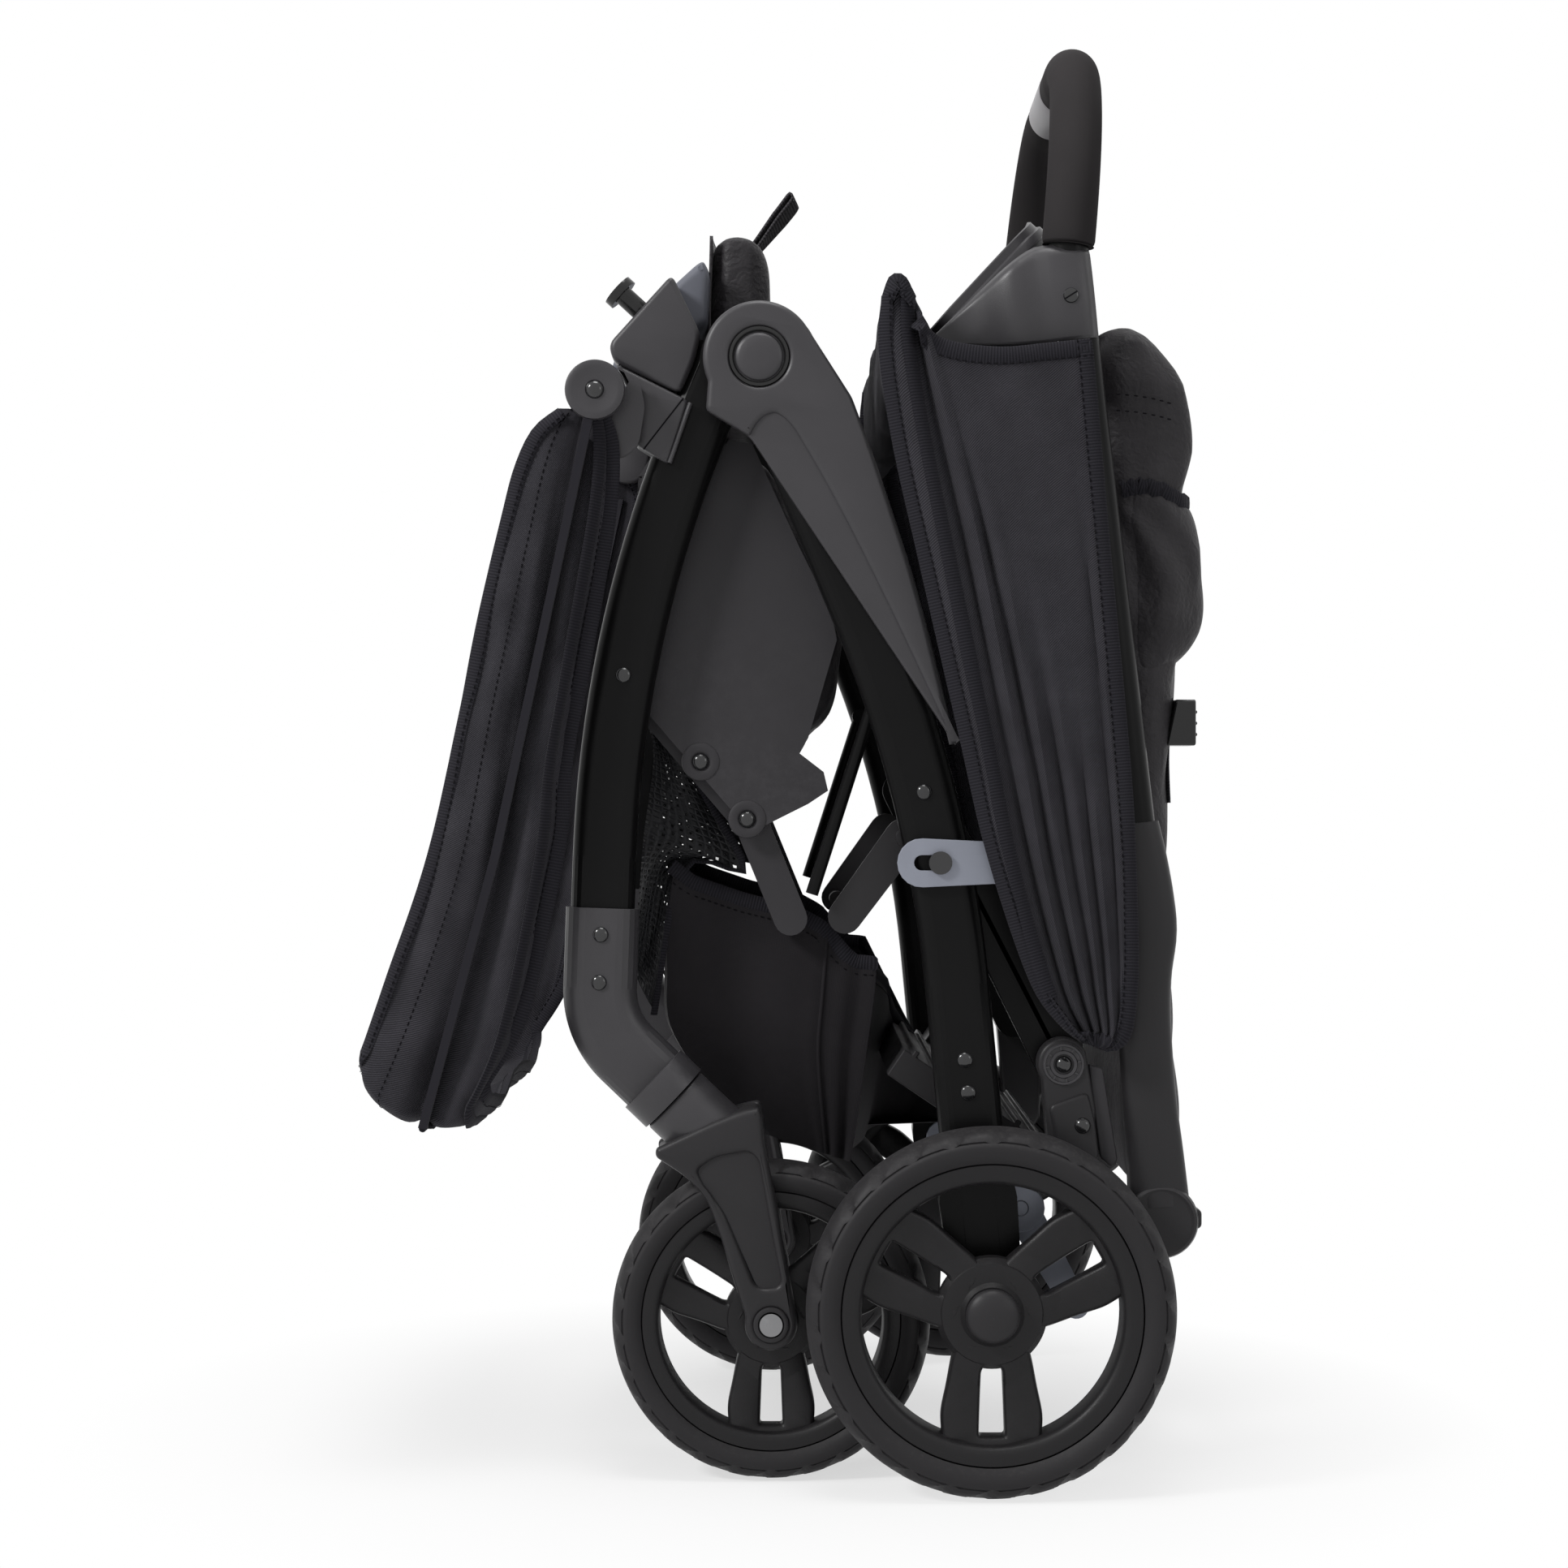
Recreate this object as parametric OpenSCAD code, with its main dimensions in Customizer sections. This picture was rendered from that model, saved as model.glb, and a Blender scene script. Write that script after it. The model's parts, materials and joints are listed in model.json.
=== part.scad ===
// Tandem stroller, folded and standing on its four wheels.
// Side plane: +X to the rear, +Z up. The left side is -Y. The floor is Z = 0.

/* [Stance] */
// Height of the main fold hinge when folded
frame_h = 784; // [720:1:840]
// Distance between the rear wheels' mid-planes
rear_track = 504; // [480:1:540]
// Diameter of a rear wheel over its tyre
rear_wheel_d = 254; // [240:1:266]
// Diameter of a front wheel over its tyre
front_wheel_d = 224; // [210:1:232]
// Width of a rear tyre
rear_tyre_w = 44; // [38:1:48]
// Width of a front tyre
front_tyre_w = 38; // [32:1:40]

/* [Tubes] */
// Width of a leg tube seen from the side
leg_w = 45; // [40:1:48]
// Thickness of a leg tube across the stroller
leg_t = 22; // [20:0.5:24]
// Wall of the leg and handle tubes
tube_wall = 1.6; // [1.2:0.1:2.5]
// Bend radius of the rear legs
rear_bend_r = 900; // [700:10:950]
// Bend radius of the front legs
front_bend_r = 880; // [700:10:950]
// Diameter of the handle tube
handle_d = 28; // [25:0.5:30]
// Diameter of the cross tubes
cross_d = 20; // [16:1:22]

/* [Hinges and pins] */
// Radius of the main hinge pins
hinge_pin_r = 6; // [5:0.5:8]
// Radius of the link and seat pivot pins
link_pin_r = 5; // [4:0.5:6]
// Radius of the rear axle rod
axle_r = 6; // [5:0.5:7]
// Radius of a caster stem
stem_r = 8; // [6:0.5:9]
// Radial clearance of every pin in its bore
fit = 0.05; // [0.02:0.01:0.1]
// Gap between parts that slide past each other
gap = 0.5; // [0.3:0.1:1]

/* [Casters] */
// Drop from the swivel ring to the wheel axle, along the swivel axis
caster_drop = 157; // [150:1:165]
// Trail of the wheel axle behind the swivel axis
caster_trail = 64; // [58:1:68]
// Radius of the swivel collar
collar_r = 28; // [25:0.5:30]

/* [Hinge covers] */
// Distance from the hinge pin to the tip of a hinge cover
cover_l = 302; // [280:1:315]
// Radius of a hinge cover's round head
cover_r = 39; // [36:0.5:42]
// Thickness of a hinge cover
cover_t = 10; // [6:0.5:12]

/* [Handle] */
// Radius of the bends at the top of the handle
handle_bend_r = 140; // [110:1:160]
// Outside diameter of the foam grips
grip_d = 37; // [35:0.5:42]
// Width of the parent tray along the stroller
tray_l = 118; // [110:1:124]
// Depth of the parent tray
tray_depth = 62; // [50:1:66]
// Radius of a cup holder
cup_r = 40; // [34:0.5:42]

/* [Soft goods] */
// Thickness of a canopy's side
canopy_t = 12; // [8:1:14]
// Diameter of a canopy bow
bow_d = 6; // [5:0.5:7]

/* [Hidden] */
$fn = 48;

// Facets of the arcs that outlines are drawn with
arc_n = 10;
// How far a cut runs past the face it opens
over = 1;

// Layers, as distances from the mid-plane, from the wheels inwards
wheel_gap = 3;
layer_gap = 3;
rear_y = rear_track / 2;
leg_out = rear_y - rear_tyre_w / 2 - wheel_gap;
leg_in = leg_out - leg_t;
leg_y = (leg_out + leg_in) / 2;
front_out = leg_in - layer_gap;
front_in = front_out - leg_t;
front_y = (front_out + front_in) / 2;
cover_out = leg_out + cover_t;
rear_canopy_in = cover_out + layer_gap;
rear_canopy_out = rear_canopy_in + canopy_t;
link_out = front_out - gap;
link_t = 12;
link_in = link_out - link_t;
panel_gap = 6;
panel_t = 12;
panel_out = front_in - panel_gap;
panel_in = panel_out - panel_t;
seat_bar_t = 10;
seat_bar_in = panel_in - seat_bar_t;
soft_y = seat_bar_in - layer_gap;

// Places in the side plane, as shares of the hinge height
hinge_share = [-0.022, 1];
rear_axle_x_share = 0.181;
front_axle_x_share = -0.0115;
swing_z_share = 0.616;
stud_z_share = 0.5535;
seat_pivot_z_share = 0.7207;
handle_pivot_share = [0.2474, 0.375];
handle_foot_share = [0.334, 0.236];
handle_socket_share = [0.322, 0.5];
handle_top_share = [0.2526, 1.1008];
canopy_hub_share = [-0.167, 0.971];

hinge = frame_h * hinge_share;
rear_r = rear_wheel_d / 2;
front_r = front_wheel_d / 2;
axle = [frame_h * rear_axle_x_share, rear_r];
front_axle = [frame_h * front_axle_x_share, front_r];
handle_pivot = frame_h * handle_pivot_share;
handle_foot = frame_h * handle_foot_share;
handle_socket = frame_h * handle_socket_share;
handle_top = frame_h * handle_top_share;
canopy_hub = frame_h * canopy_hub_share;

// Tilts of the legs from the vertical
rear_top_tilt = 22.5;
rear_foot_tilt = 5.5;
front_top_tilt = 22.5;
front_foot_tilt = 2;
swivel_tilt = 46.2;

function unit(v) = v / norm(v);
function up(tilt) = [sin(tilt), cos(tilt)];
function turned(v, a) = [v[0] * cos(a) - v[1] * sin(a), v[0] * sin(a) + v[1] * cos(a)];
function cross2(a, b) = a[0] * b[1] - a[1] * b[0];
// Where the line from p along u meets the line from q along v
function meet(p, u, q, v) = p + u * cross2(q - p, v) / cross2(u, v);
function at3(p, y) = [p[0], y, p[1]];
function arc_pts(c, r, a0, a1, n = arc_n) =
    [for (i = [0:n]) c + r * [cos(a0 + (a1 - a0) * i / n), sin(a0 + (a1 - a0) * i / n)]];
// A flat link with a round eye of its own radius at each end
function link_pts(p, q, rp, rq) =
    let (a = atan2(q[1] - p[1], q[0] - p[0]), b = acos((rp - rq) / norm(q - p)))
    concat(arc_pts(p, rp, a + b, a + 360 - b), arc_pts(q, rq, a - b, a + b));
function bezier(a, b, c, d, n = arc_n) =
    [for (i = [0:n]) let (t = i / n, s = 1 - t)
        s * s * s * a + 3 * s * s * t * b + 3 * s * t * t * c + t * t * t * d];
function oval_pts(w, t) =
    concat(arc_pts([(w - t) / 2, 0], t / 2, -90, 90), arc_pts([(t - w) / 2, 0], t / 2, 90, 270));
function scaled(shares, size) = [for (s = shares) s * size];

// The most of a straight that the bend beside it may take
bend_room_share = 0.95;
function bend_fit(r, p, v, q) =
    min(r, bend_room_share * min(norm(v - p), norm(q - v)) / tan(acos(unit(v - p) * unit(q - v)) / 2));

// The rear leg's bend
rear_down = -up(-rear_top_tilt);
rear_vertex = meet(hinge, rear_down, axle, up(-rear_foot_tilt));
rear_bend = bend_fit(rear_bend_r, hinge, rear_vertex, axle);
rear_tangent = rear_bend * tan((rear_top_tilt - rear_foot_tilt) / 2);
rear_bend_top = rear_vertex - rear_tangent * rear_down;
rear_bend_c = rear_bend_top - rear_bend * [cos(rear_top_tilt), sin(rear_top_tilt)];
rear_bend_foot_z = rear_bend_c[1] + rear_bend * sin(rear_foot_tilt);
function rear_leg_at(z) =
    [z > rear_bend_top[1] ? hinge[0] + (hinge[1] - z) * tan(rear_top_tilt)
    : z < rear_bend_foot_z ? axle[0] - (z - axle[1]) * tan(rear_foot_tilt)
    : rear_bend_c[0] + sqrt(pow(rear_bend, 2) - pow(z - rear_bend_c[1], 2)), z];

// The swivel axis, the elbow above it and the front leg's bend
swivel_down = [sin(swivel_tilt), -cos(swivel_tilt)];
swivel_back = [-cos(swivel_tilt), -sin(swivel_tilt)];
swivel = front_axle - caster_drop * swivel_down - caster_trail * swivel_back;
elbow_drop = 73;
elbow_sleeve_l = 84;
elbow_w = leg_w + 7;
elbow_t = leg_t + 8;
elbow_bend_r = 62;
elbow_vertex = swivel - elbow_drop * swivel_down;
elbow_top = elbow_vertex + elbow_sleeve_l * up(front_foot_tilt);
sleeve_depth = 44;
knuckle_r = 42;
leg_offset = 24;
front_top = hinge + leg_offset * [-cos(front_top_tilt), sin(front_top_tilt)];
front_vertex = meet(elbow_top, up(front_foot_tilt), front_top, up(front_top_tilt));
front_bend = bend_fit(front_bend_r, elbow_top, front_vertex, front_top);
front_tangent = front_bend * tan((front_top_tilt - front_foot_tilt) / 2);
front_bend_foot = front_vertex - front_tangent * up(front_foot_tilt);
front_bend_c = front_bend_foot + front_bend * [cos(front_foot_tilt), -sin(front_foot_tilt)];
front_bend_top_z = front_bend_c[1] + front_bend * sin(front_top_tilt);
function front_leg_at(z) =
    [z < front_bend_foot[1] ? elbow_top[0] + (z - elbow_top[1]) * tan(front_foot_tilt)
    : z > front_bend_top_z ? front_top[0] + (z - front_top[1]) * tan(front_top_tilt)
    : front_bend_c[0] - sqrt(pow(front_bend, 2) - pow(z - front_bend_c[1], 2)), z];

swing_pivot = rear_leg_at(frame_h * swing_z_share);
stud = rear_leg_at(frame_h * stud_z_share);
seat_pivot = front_leg_at(frame_h * seat_pivot_z_share);

// Draws an outline of the side plane as a plate between two distances from the mid-plane, on the left
module plate(inner, outer) {
    translate([0, -inner, 0]) rotate([90, 0, 0]) linear_extrude(outer - inner) children();
}
module right() { mirror([0, 1, 0]) children(); }
module both() {
    children();
    right() children();
}
// A pin across the stroller on the left, at a place in the side plane
module cross_pin(p, r, inner, outer) {
    translate(at3(p, -inner)) rotate([90, 0, 0]) cylinder(r = r, h = outer - inner);
}
// A domed rivet head on a face at a distance from the mid-plane
rivet_r = 5.5;
rivet_h = 3;
module rivet(p, face) {
    translate(at3(p, -face)) rotate([90, 0, 0])
        rotate_extrude() polygon(concat([[0, 0], [rivet_r, 0]],
            [for (i = [1:arc_n]) [rivet_r * cos(90 * i / arc_n), rivet_h * sin(90 * i / arc_n)]]));
}
module straight(p, q, y) {
    translate(at3(p, -y)) rotate([0, atan2(q[0] - p[0], q[1] - p[1]), 0])
        linear_extrude(norm(q - p)) children();
}
// A tube in the side plane from p to q with one bend of radius r at the vertex v. The bend swells by a
// hair so that the straights run into it
bend_swell = 1.0005;
module bent(p, v, q, r, y) {
    u = unit(v - p);
    w = unit(q - v);
    turn = acos(u * w);
    side = sign(cross2(u, w));
    t = r * tan(turn / 2);
    start = v - t * u;
    c = start + side * r * [-u[1], u[0]];
    a = atan2(start[1] - c[1], start[0] - c[0]);
    straight(p, start + over / 2 * u, y) children();
    straight(v + (t - over / 2) * w, q, y) children();
    translate(at3(c, -y)) rotate([90, 0, 0]) rotate([0, 0, side > 0 ? a : a - turn])
        rotate_extrude(angle = turn) translate([r, 0]) scale(bend_swell) children();
}
module oval(w, t) { polygon(oval_pts(w, t)); }
module oval_tube(w, t) {
    difference() {
        oval(w, t);
        oval(w - 2 * tube_wall, t - 2 * tube_wall);
    }
}

// Rear axle
axle_end = 8;
module rear_axle() {
    color("silver") translate([axle[0], 0, axle[1]]) rotate([90, 0, 0])
        cylinder(r = axle_r, h = 2 * (rear_y + rear_tyre_w / 2 - axle_end), center = true);
}

// Wheels
tyre_share = 0.824;
window_share = 0.7;
hub_share = 0.26;
arm_shares = [[0.125, 0.2], [0.15, 0.45], [0.235, 0.72]];
slot_shares = [0.075, 0.3, 0.66];
rim_inset = 4;
spoke_t = 16;
module tyre(d, w, y) {
    r = d / 2;
    bed = r * tyre_share;
    crown = (r - bed) / 2;
    translate(at3([0, 0], -y)) rotate([90, 0, 0]) rotate_extrude()
        polygon(concat([[bed, -w / 2 + rim_inset], [bed, w / 2 - rim_inset]],
            [for (i = [0:2 * arc_n]) let (a = 90 - 180 * i / (2 * arc_n))
                [bed + crown + crown * cos(a) * (i == 0 || i == 2 * arc_n ? 0 : 1), w / 2 * sin(a)]]));
}
module rim(d, w, y, bore) {
    r = d / 2;
    hub_r = r * hub_share;
    translate(at3([0, 0], -y)) rotate([90, 0, 0]) difference() {
        union() {
            translate([0, 0, -w / 2 + rim_inset]) linear_extrude(w - 2 * rim_inset) difference() {
                circle(r = r * tyre_share - gap / 5, $fn = 96);
                circle(r = r * window_share, $fn = 96);
            }
            translate([0, 0, -spoke_t / 2]) linear_extrude(spoke_t) for (k = [0:2]) rotate(120 * k - 90)
            difference() {
                polygon([for (s = [for (i = [0:2]) [1, i], for (i = [2:-1:0]) [-1, i]])
                    r * [arm_shares[s[1]][1], s[0] * arm_shares[s[1]][0]]]);
                polygon(concat(arc_pts([r * slot_shares[1], 0], r * slot_shares[0], 90, 270),
                    [r * [slot_shares[2], -slot_shares[0]], r * [slot_shares[2], slot_shares[0]]]));
            }
            translate([0, 0, -w / 2 + rim_inset]) cylinder(r = hub_r, h = w - 2 * rim_inset);
        }
        translate([0, 0, -w]) cylinder(r = bore, h = 2 * w);
    }
}
module at_axle(p) { translate([p[0], 0, p[1]]) children(); }
module rear_tyre() { color("dimgray") at_axle(axle) tyre(rear_wheel_d, rear_tyre_w, rear_y); }
module rear_rim() { color("#333333") at_axle(axle) rim(rear_wheel_d, rear_tyre_w, rear_y, axle_r + fit); }
module front_tyre() { color("dimgray") at_axle(front_axle) tyre(front_wheel_d, front_tyre_w, front_y); }
module front_rim() {
    color("#333333") at_axle(front_axle) rim(front_wheel_d, front_tyre_w, front_y, link_pin_r + fit);
}
module rear_tyre_left() { rear_tyre(); }
module rear_tyre_right() { right() rear_tyre(); }
module rear_rim_left() { rear_rim(); }
module rear_rim_right() { right() rear_rim(); }
module front_tyre_left() { front_tyre(); }
module front_tyre_right() { right() front_tyre(); }
module front_rim_left() { front_rim(); }
module front_rim_right() { right() front_rim(); }

// A rear wheel's dome, which clips over the end of the axle
cap_r = 18.5;
cap_h = 8;
module rear_hub_cap() {
    face = rear_y + rear_tyre_w / 2 - rim_inset;
    color("#444444") at_axle(axle) translate(at3([0, 0], -face)) rotate([90, 0, 0]) rotate_extrude()
        polygon(concat([[0, 0], [cap_r, 0]],
            [for (i = [1:arc_n]) [cap_r * cos(90 * i / arc_n), cap_h * sin(90 * i / arc_n)]]));
}
module rear_hub_caps_left() { rear_hub_cap(); }
module rear_hub_caps_right() { right() rear_hub_cap(); }

// Rear legs
rear_eye_r = 36;
foot_rise = 34;
rear_foot = rear_leg_at(axle[1] + foot_rise);
// A section along the rear leg, which may run past the leg's foot
module along_rear_leg(slack = 0) {
    head = hinge - rear_eye_r / 2 * up(-rear_top_tilt);
    foot = rear_foot - slack * up(-rear_foot_tilt);
    bent(head, rear_vertex, foot, rear_bend, leg_y) children();
}
module rear_leg() {
    color("#2b2b2d") difference() {
        union() {
            along_rear_leg() oval_tube(leg_w, leg_t);
            cross_pin(hinge, rear_eye_r, leg_in, leg_out);
        }
        cross_pin(hinge, hinge_pin_r + fit, leg_in - over, leg_out + over);
        cross_pin(swing_pivot, link_pin_r + fit, leg_in - over, leg_out + over);
        cross_pin(stud, link_pin_r + fit, leg_in - over, leg_out + over);
    }
}
module rear_leg_left() { rear_leg(); }
module rear_leg_right() { right() rear_leg(); }

// Hinge covers: a round head, a foot at its lower left and a curved blade down the rear leg
cover_tip_share = [0.452, -0.893];
cover_foot_shares = [[-0.02, -0.185], [-0.122, -0.122]];
cover_edge_shares = [[0.2, -0.06], [0.39, -0.42], [0.41, -0.72]];
cover_head_angles = [30, 205];
cover_pts = concat(
    arc_pts(hinge, cover_r, cover_head_angles[0], cover_head_angles[1]),
    [for (i = [1, 0]) hinge + cover_l * cover_foot_shares[i]],
    bezier(hinge + cover_l * cover_tip_share, hinge + cover_l * cover_edge_shares[2],
        hinge + cover_l * cover_edge_shares[1], hinge + cover_l * cover_edge_shares[0]));
cap_ring_r = 18;
module hinge_cover() {
    color("#3a3a3c") difference() {
        plate(leg_out, cover_out) polygon(cover_pts);
        cross_pin(hinge, cap_ring_r, leg_out - over, cover_out + over);
    }
}
module hinge_cover_left() { hinge_cover(); }
module hinge_cover_right() { right() hinge_cover(); }
cap_rise = 2;
module hinge_caps() {
    color("#444446") both() cross_pin(hinge, cap_ring_r - fit, leg_out, cover_out + cap_rise);
}
rear_rivet_shares = [0.379, 0.35];

// Rear feet: a bracket that joins the leg to the axle
foot_w = 40;
foot_r = 24;
module axle_brackets() {
    head = rear_foot + foot_w * up(-rear_foot_tilt);
    color("#333335") both() difference() {
        plate(leg_in - layer_gap, leg_out) polygon(link_pts(axle, head, foot_r, foot_r + layer_gap));
        cross_pin(axle, axle_r + fit, leg_in - leg_t, leg_out + over);
        along_rear_leg(fit) oval(leg_w + 2 * fit, leg_t + 2 * fit);
    }
}
drum_r = 31;
drum_t = 9;
module brake_drums() {
    color("#3a3a3c") both() difference() {
        cross_pin(axle, drum_r, leg_in - layer_gap - drum_t, leg_in - layer_gap);
        cross_pin(axle, axle_r + fit, front_in - leg_t, leg_out);
    }
}
brake_plate_t = 2;
brake_plate_share = [0.212, 0.243];
brake_pivot = frame_h * brake_plate_share;
brake_plate_r = 17;
module brake_plates() {
    color("lightgray") both() difference() {
        plate(leg_in - layer_gap - brake_plate_t, leg_in - layer_gap)
            polygon(link_pts(brake_pivot, rear_leg_at(brake_pivot[1]), brake_plate_r, brake_plate_r));
        cross_pin(brake_pivot, link_pin_r + fit, front_in, leg_out);
    }
}
pedal_end_share = [0.262, 0.155];
pedal_r = 9;
pedal_eye_r = 12.6;
pedal_bar_r = 8.1;
pedal_t = 8;
module brake_pedal() {
    inner = leg_in - layer_gap - brake_plate_t;
    foot = frame_h * pedal_end_share;
    color("gray") {
        both() {
            plate(inner - gap - pedal_t, inner - gap)
                polygon(link_pts(brake_pivot, foot, pedal_eye_r, pedal_r));
            cross_pin(brake_pivot, link_pin_r, inner - gap - over, inner + brake_plate_t - gap);
        }
        translate(at3(foot, 0)) rotate([90, 0, 0])
            cylinder(r = pedal_bar_r, h = 2 * (inner - gap - pedal_t / 2), center = true);
    }
}

// Standing platform between the rear legs
platform_tilt = 34;
platform_l = 124;
platform_t = 22;
platform_share = [0.168, 0.324];
platform_rib_n = 7;
platform_rib_h = 4;
platform_ear = 30;
module standing_platform() {
    c = frame_h * platform_share;
    half = seat_bar_in;
    color("#3c3c3e") {
        translate(at3(c, 0)) rotate([0, platform_tilt, 0]) {
            translate([-platform_l / 2, -half, -platform_t / 2]) cube([platform_l, 2 * half, platform_t]);
            for (i = [0:platform_rib_n - 1])
                translate([platform_l * ((i + 0.5) / platform_rib_n - 0.5), 0, platform_t / 2])
                    translate([-platform_rib_h / 2, -half, 0])
                        cube([platform_rib_h, 2 * half, platform_rib_h]);
        }
        both() plate(half - over, leg_in)
            translate(rear_leg_at(c[1] + platform_ear / 2)) rotate(-platform_tilt)
                square([platform_ear, platform_t], center = true);
    }
}

// Rods and brackets that carry the basket's rear edge
rod_r = 4.5;
rod_shares = [[0.08, 0.695], [0.025, 0.524]];
rod_y = front_y;
hook_inset = 9;
hook_t = 10.8;
hook_r = 6.3;
hook_end_r = 5.9;
module basket_rods() {
    top = frame_h * rod_shares[0];
    eye = rear_leg_at(top[1]);
    hook = [eye[0] - hook_inset, top[1]];
    color("#2b2b2d") both() {
        straight(top, frame_h * rod_shares[1], rod_y) circle(r = rod_r);
        plate(rod_y - hook_t / 2, rod_y + hook_t / 2) polygon(link_pts(hook, top, hook_r, hook_end_r));
        cross_pin(hook, rod_r, rod_y, leg_in);
    }
}
basket_bracket_shares = [[0.108, 0.575], [0.055, 0.503]];
basket_bracket_r = 12;
basket_bracket_top_r = 13.2;
module basket_brackets() {
    color("#3a3a3c") both() {
        plate(panel_out + gap, front_in + layer_gap)
            polygon(link_pts(frame_h * basket_bracket_shares[0], frame_h * basket_bracket_shares[1],
                basket_bracket_top_r, basket_bracket_r));
        cross_pin(frame_h * basket_bracket_shares[0], basket_bracket_r / 2, front_in, leg_in);
        cross_pin(frame_h * basket_bracket_shares[1], basket_bracket_r / 2, soft_y, front_in);
    }
}

// Pivot pins of the swing links and the stud that carries the storage latch
bolt_head_r = 8;
bolt_head_t = 3;
module rear_pins() {
    color("silver") {
        both() {
            cross_pin(hinge, hinge_pin_r, front_in, leg_out);
            cross_pin(swing_pivot, link_pin_r, link_in - gap, leg_out);
            rivet(swing_pivot, leg_out);
            for (s = rear_rivet_shares) rivet(rear_leg_at(frame_h * s), leg_out);
        }
        right() rivet(stud, leg_out);
        cross_pin(stud, link_pin_r, leg_in, latch_out + gap);
        cross_pin(stud, bolt_head_r, latch_out + gap, latch_out + gap + bolt_head_t);
        cross_pin(stud, bolt_head_r, leg_out, latch_in - gap);
    }
}
latch_t = 3;
latch_r = 17;
latch_reach_share = 0.115;
latch_slot_share = 0.033;
latch_in = leg_out + bolt_head_t + gap;
latch_out = latch_in + latch_t;
latch_nose_r = 12;
latch_slot_r = link_pin_r + gap / 2;
// The slotted storage link hangs on its stud and lies along the folded frame
module storage_link() {
    heel = stud - frame_h * [latch_slot_share / 2, 0];
    nose = stud + frame_h * [latch_reach_share, 0];
    color("lightgray") difference() {
        plate(latch_in, latch_out) polygon(link_pts(heel, nose, latch_r, latch_nose_r));
        plate(latch_in - over, latch_out + over) polygon(link_pts(stud, heel, latch_slot_r, latch_slot_r));
    }
}

// Basket: an open-topped bag between the legs, and the mesh gusset in front of it
basket_shares = [
    [-0.1, 0.555], [-0.03, 0.523], [0.05, 0.506], [0.085, 0.5], [0.08, 0.41], [0.062, 0.27],
    [-0.03, 0.3], [-0.105, 0.395]
];
basket_inner_shares = [
    [-0.085, 0.6], [-0.02, 0.6], [0.07, 0.6], [0.067, 0.41], [0.05, 0.29], [-0.025, 0.317],
    [-0.09, 0.405]
];
basket_wall = 3;
module basket() {
    color("#2c2c30") difference() {
        plate(-soft_y, soft_y) polygon(scaled(basket_shares, frame_h));
        plate(-soft_y + basket_wall, soft_y - basket_wall) polygon(scaled(basket_inner_shares, frame_h));
    }
}
// The gusset's lower edge runs round the hinge, so that the basket's front corner passes under it
mesh_top_shares = [[-0.135, 0.69], [-0.128, 0.7]];
mesh_sweep_share = 0.446;
mesh_sweep_angles = [-91, -101];
mesh_front_share = [-0.116, 0.4];
mesh_foot = elbow_vertex + elbow_sleeve_l / 2 * up(front_foot_tilt) + [cross_d / 2, 0];
module basket_mesh() {
    color("#3a3a3e") plate(-soft_y, soft_y) polygon(concat(scaled(mesh_top_shares, frame_h),
        arc_pts(hinge, frame_h * mesh_sweep_share, mesh_sweep_angles[0], mesh_sweep_angles[1]),
        [frame_h * mesh_front_share, mesh_foot]));
}

// Front legs, each with a knuckle that turns on the hinge pin
// A section along the front leg, which may run past the leg's top
module along_front_leg(slack = 0) {
    top = front_top + slack * up(front_top_tilt);
    bent(elbow_top - sleeve_depth * up(front_foot_tilt), front_vertex, top, front_bend, front_y) children();
}
module front_leg() {
    color("#2b2b2d") difference() {
        union() {
            along_front_leg() oval_tube(leg_w, leg_t);
            cross_pin(hinge, knuckle_r, front_in, front_out);
        }
        cross_pin(hinge, hinge_pin_r + fit, front_in - over, front_out + over);
        cross_pin(seat_pivot, link_pin_r + fit, front_in - over, front_out + over);
    }
}
module front_leg_left() { front_leg(); }
module front_leg_right() { right() front_leg(); }

// Elbows: a sleeve over the leg, a bend and the collar of the caster
collar_l = 20;
module elbow() {
    color("#38383a") difference() {
        union() {
            bent(elbow_top, elbow_vertex, swivel - collar_l / 2 * swivel_down, elbow_bend_r, front_y)
                oval(elbow_w, elbow_t);
            straight(swivel - collar_l * swivel_down, swivel, front_y) circle(r = collar_r);
        }
        along_front_leg() oval(leg_w + 2 * fit, leg_t + 2 * fit);
        straight(swivel - 2 * collar_l * swivel_down, swivel + over * swivel_down, front_y)
            circle(r = stem_r + fit);
    }
}
module elbow_left() { elbow(); }
module elbow_right() { right() elbow(); }

// Footrest tube between the elbows
module front_cross_tube() {
    p = elbow_vertex + elbow_sleeve_l / 2 * up(front_foot_tilt);
    reach = front_y - elbow_t / 2;
    color("#2b2b2d") translate(at3(p, 0)) rotate([90, 0, 0]) difference() {
        cylinder(d = cross_d, h = 2 * reach, center = true);
        cylinder(d = cross_d - 2 * tube_wall, h = 2 * reach + over, center = true);
    }
}
elbow_rivet_shares = [0.22, 0.62];
module front_pins() {
    color("silver") both() {
        for (s = elbow_rivet_shares)
            rivet(elbow_top - s * elbow_sleeve_l * up(front_foot_tilt), front_y + elbow_t / 2);
        cross_pin(seat_pivot, link_pin_r, seat_bar_in, front_out);
        rivet(seat_pivot, front_out);
    }
}

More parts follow.
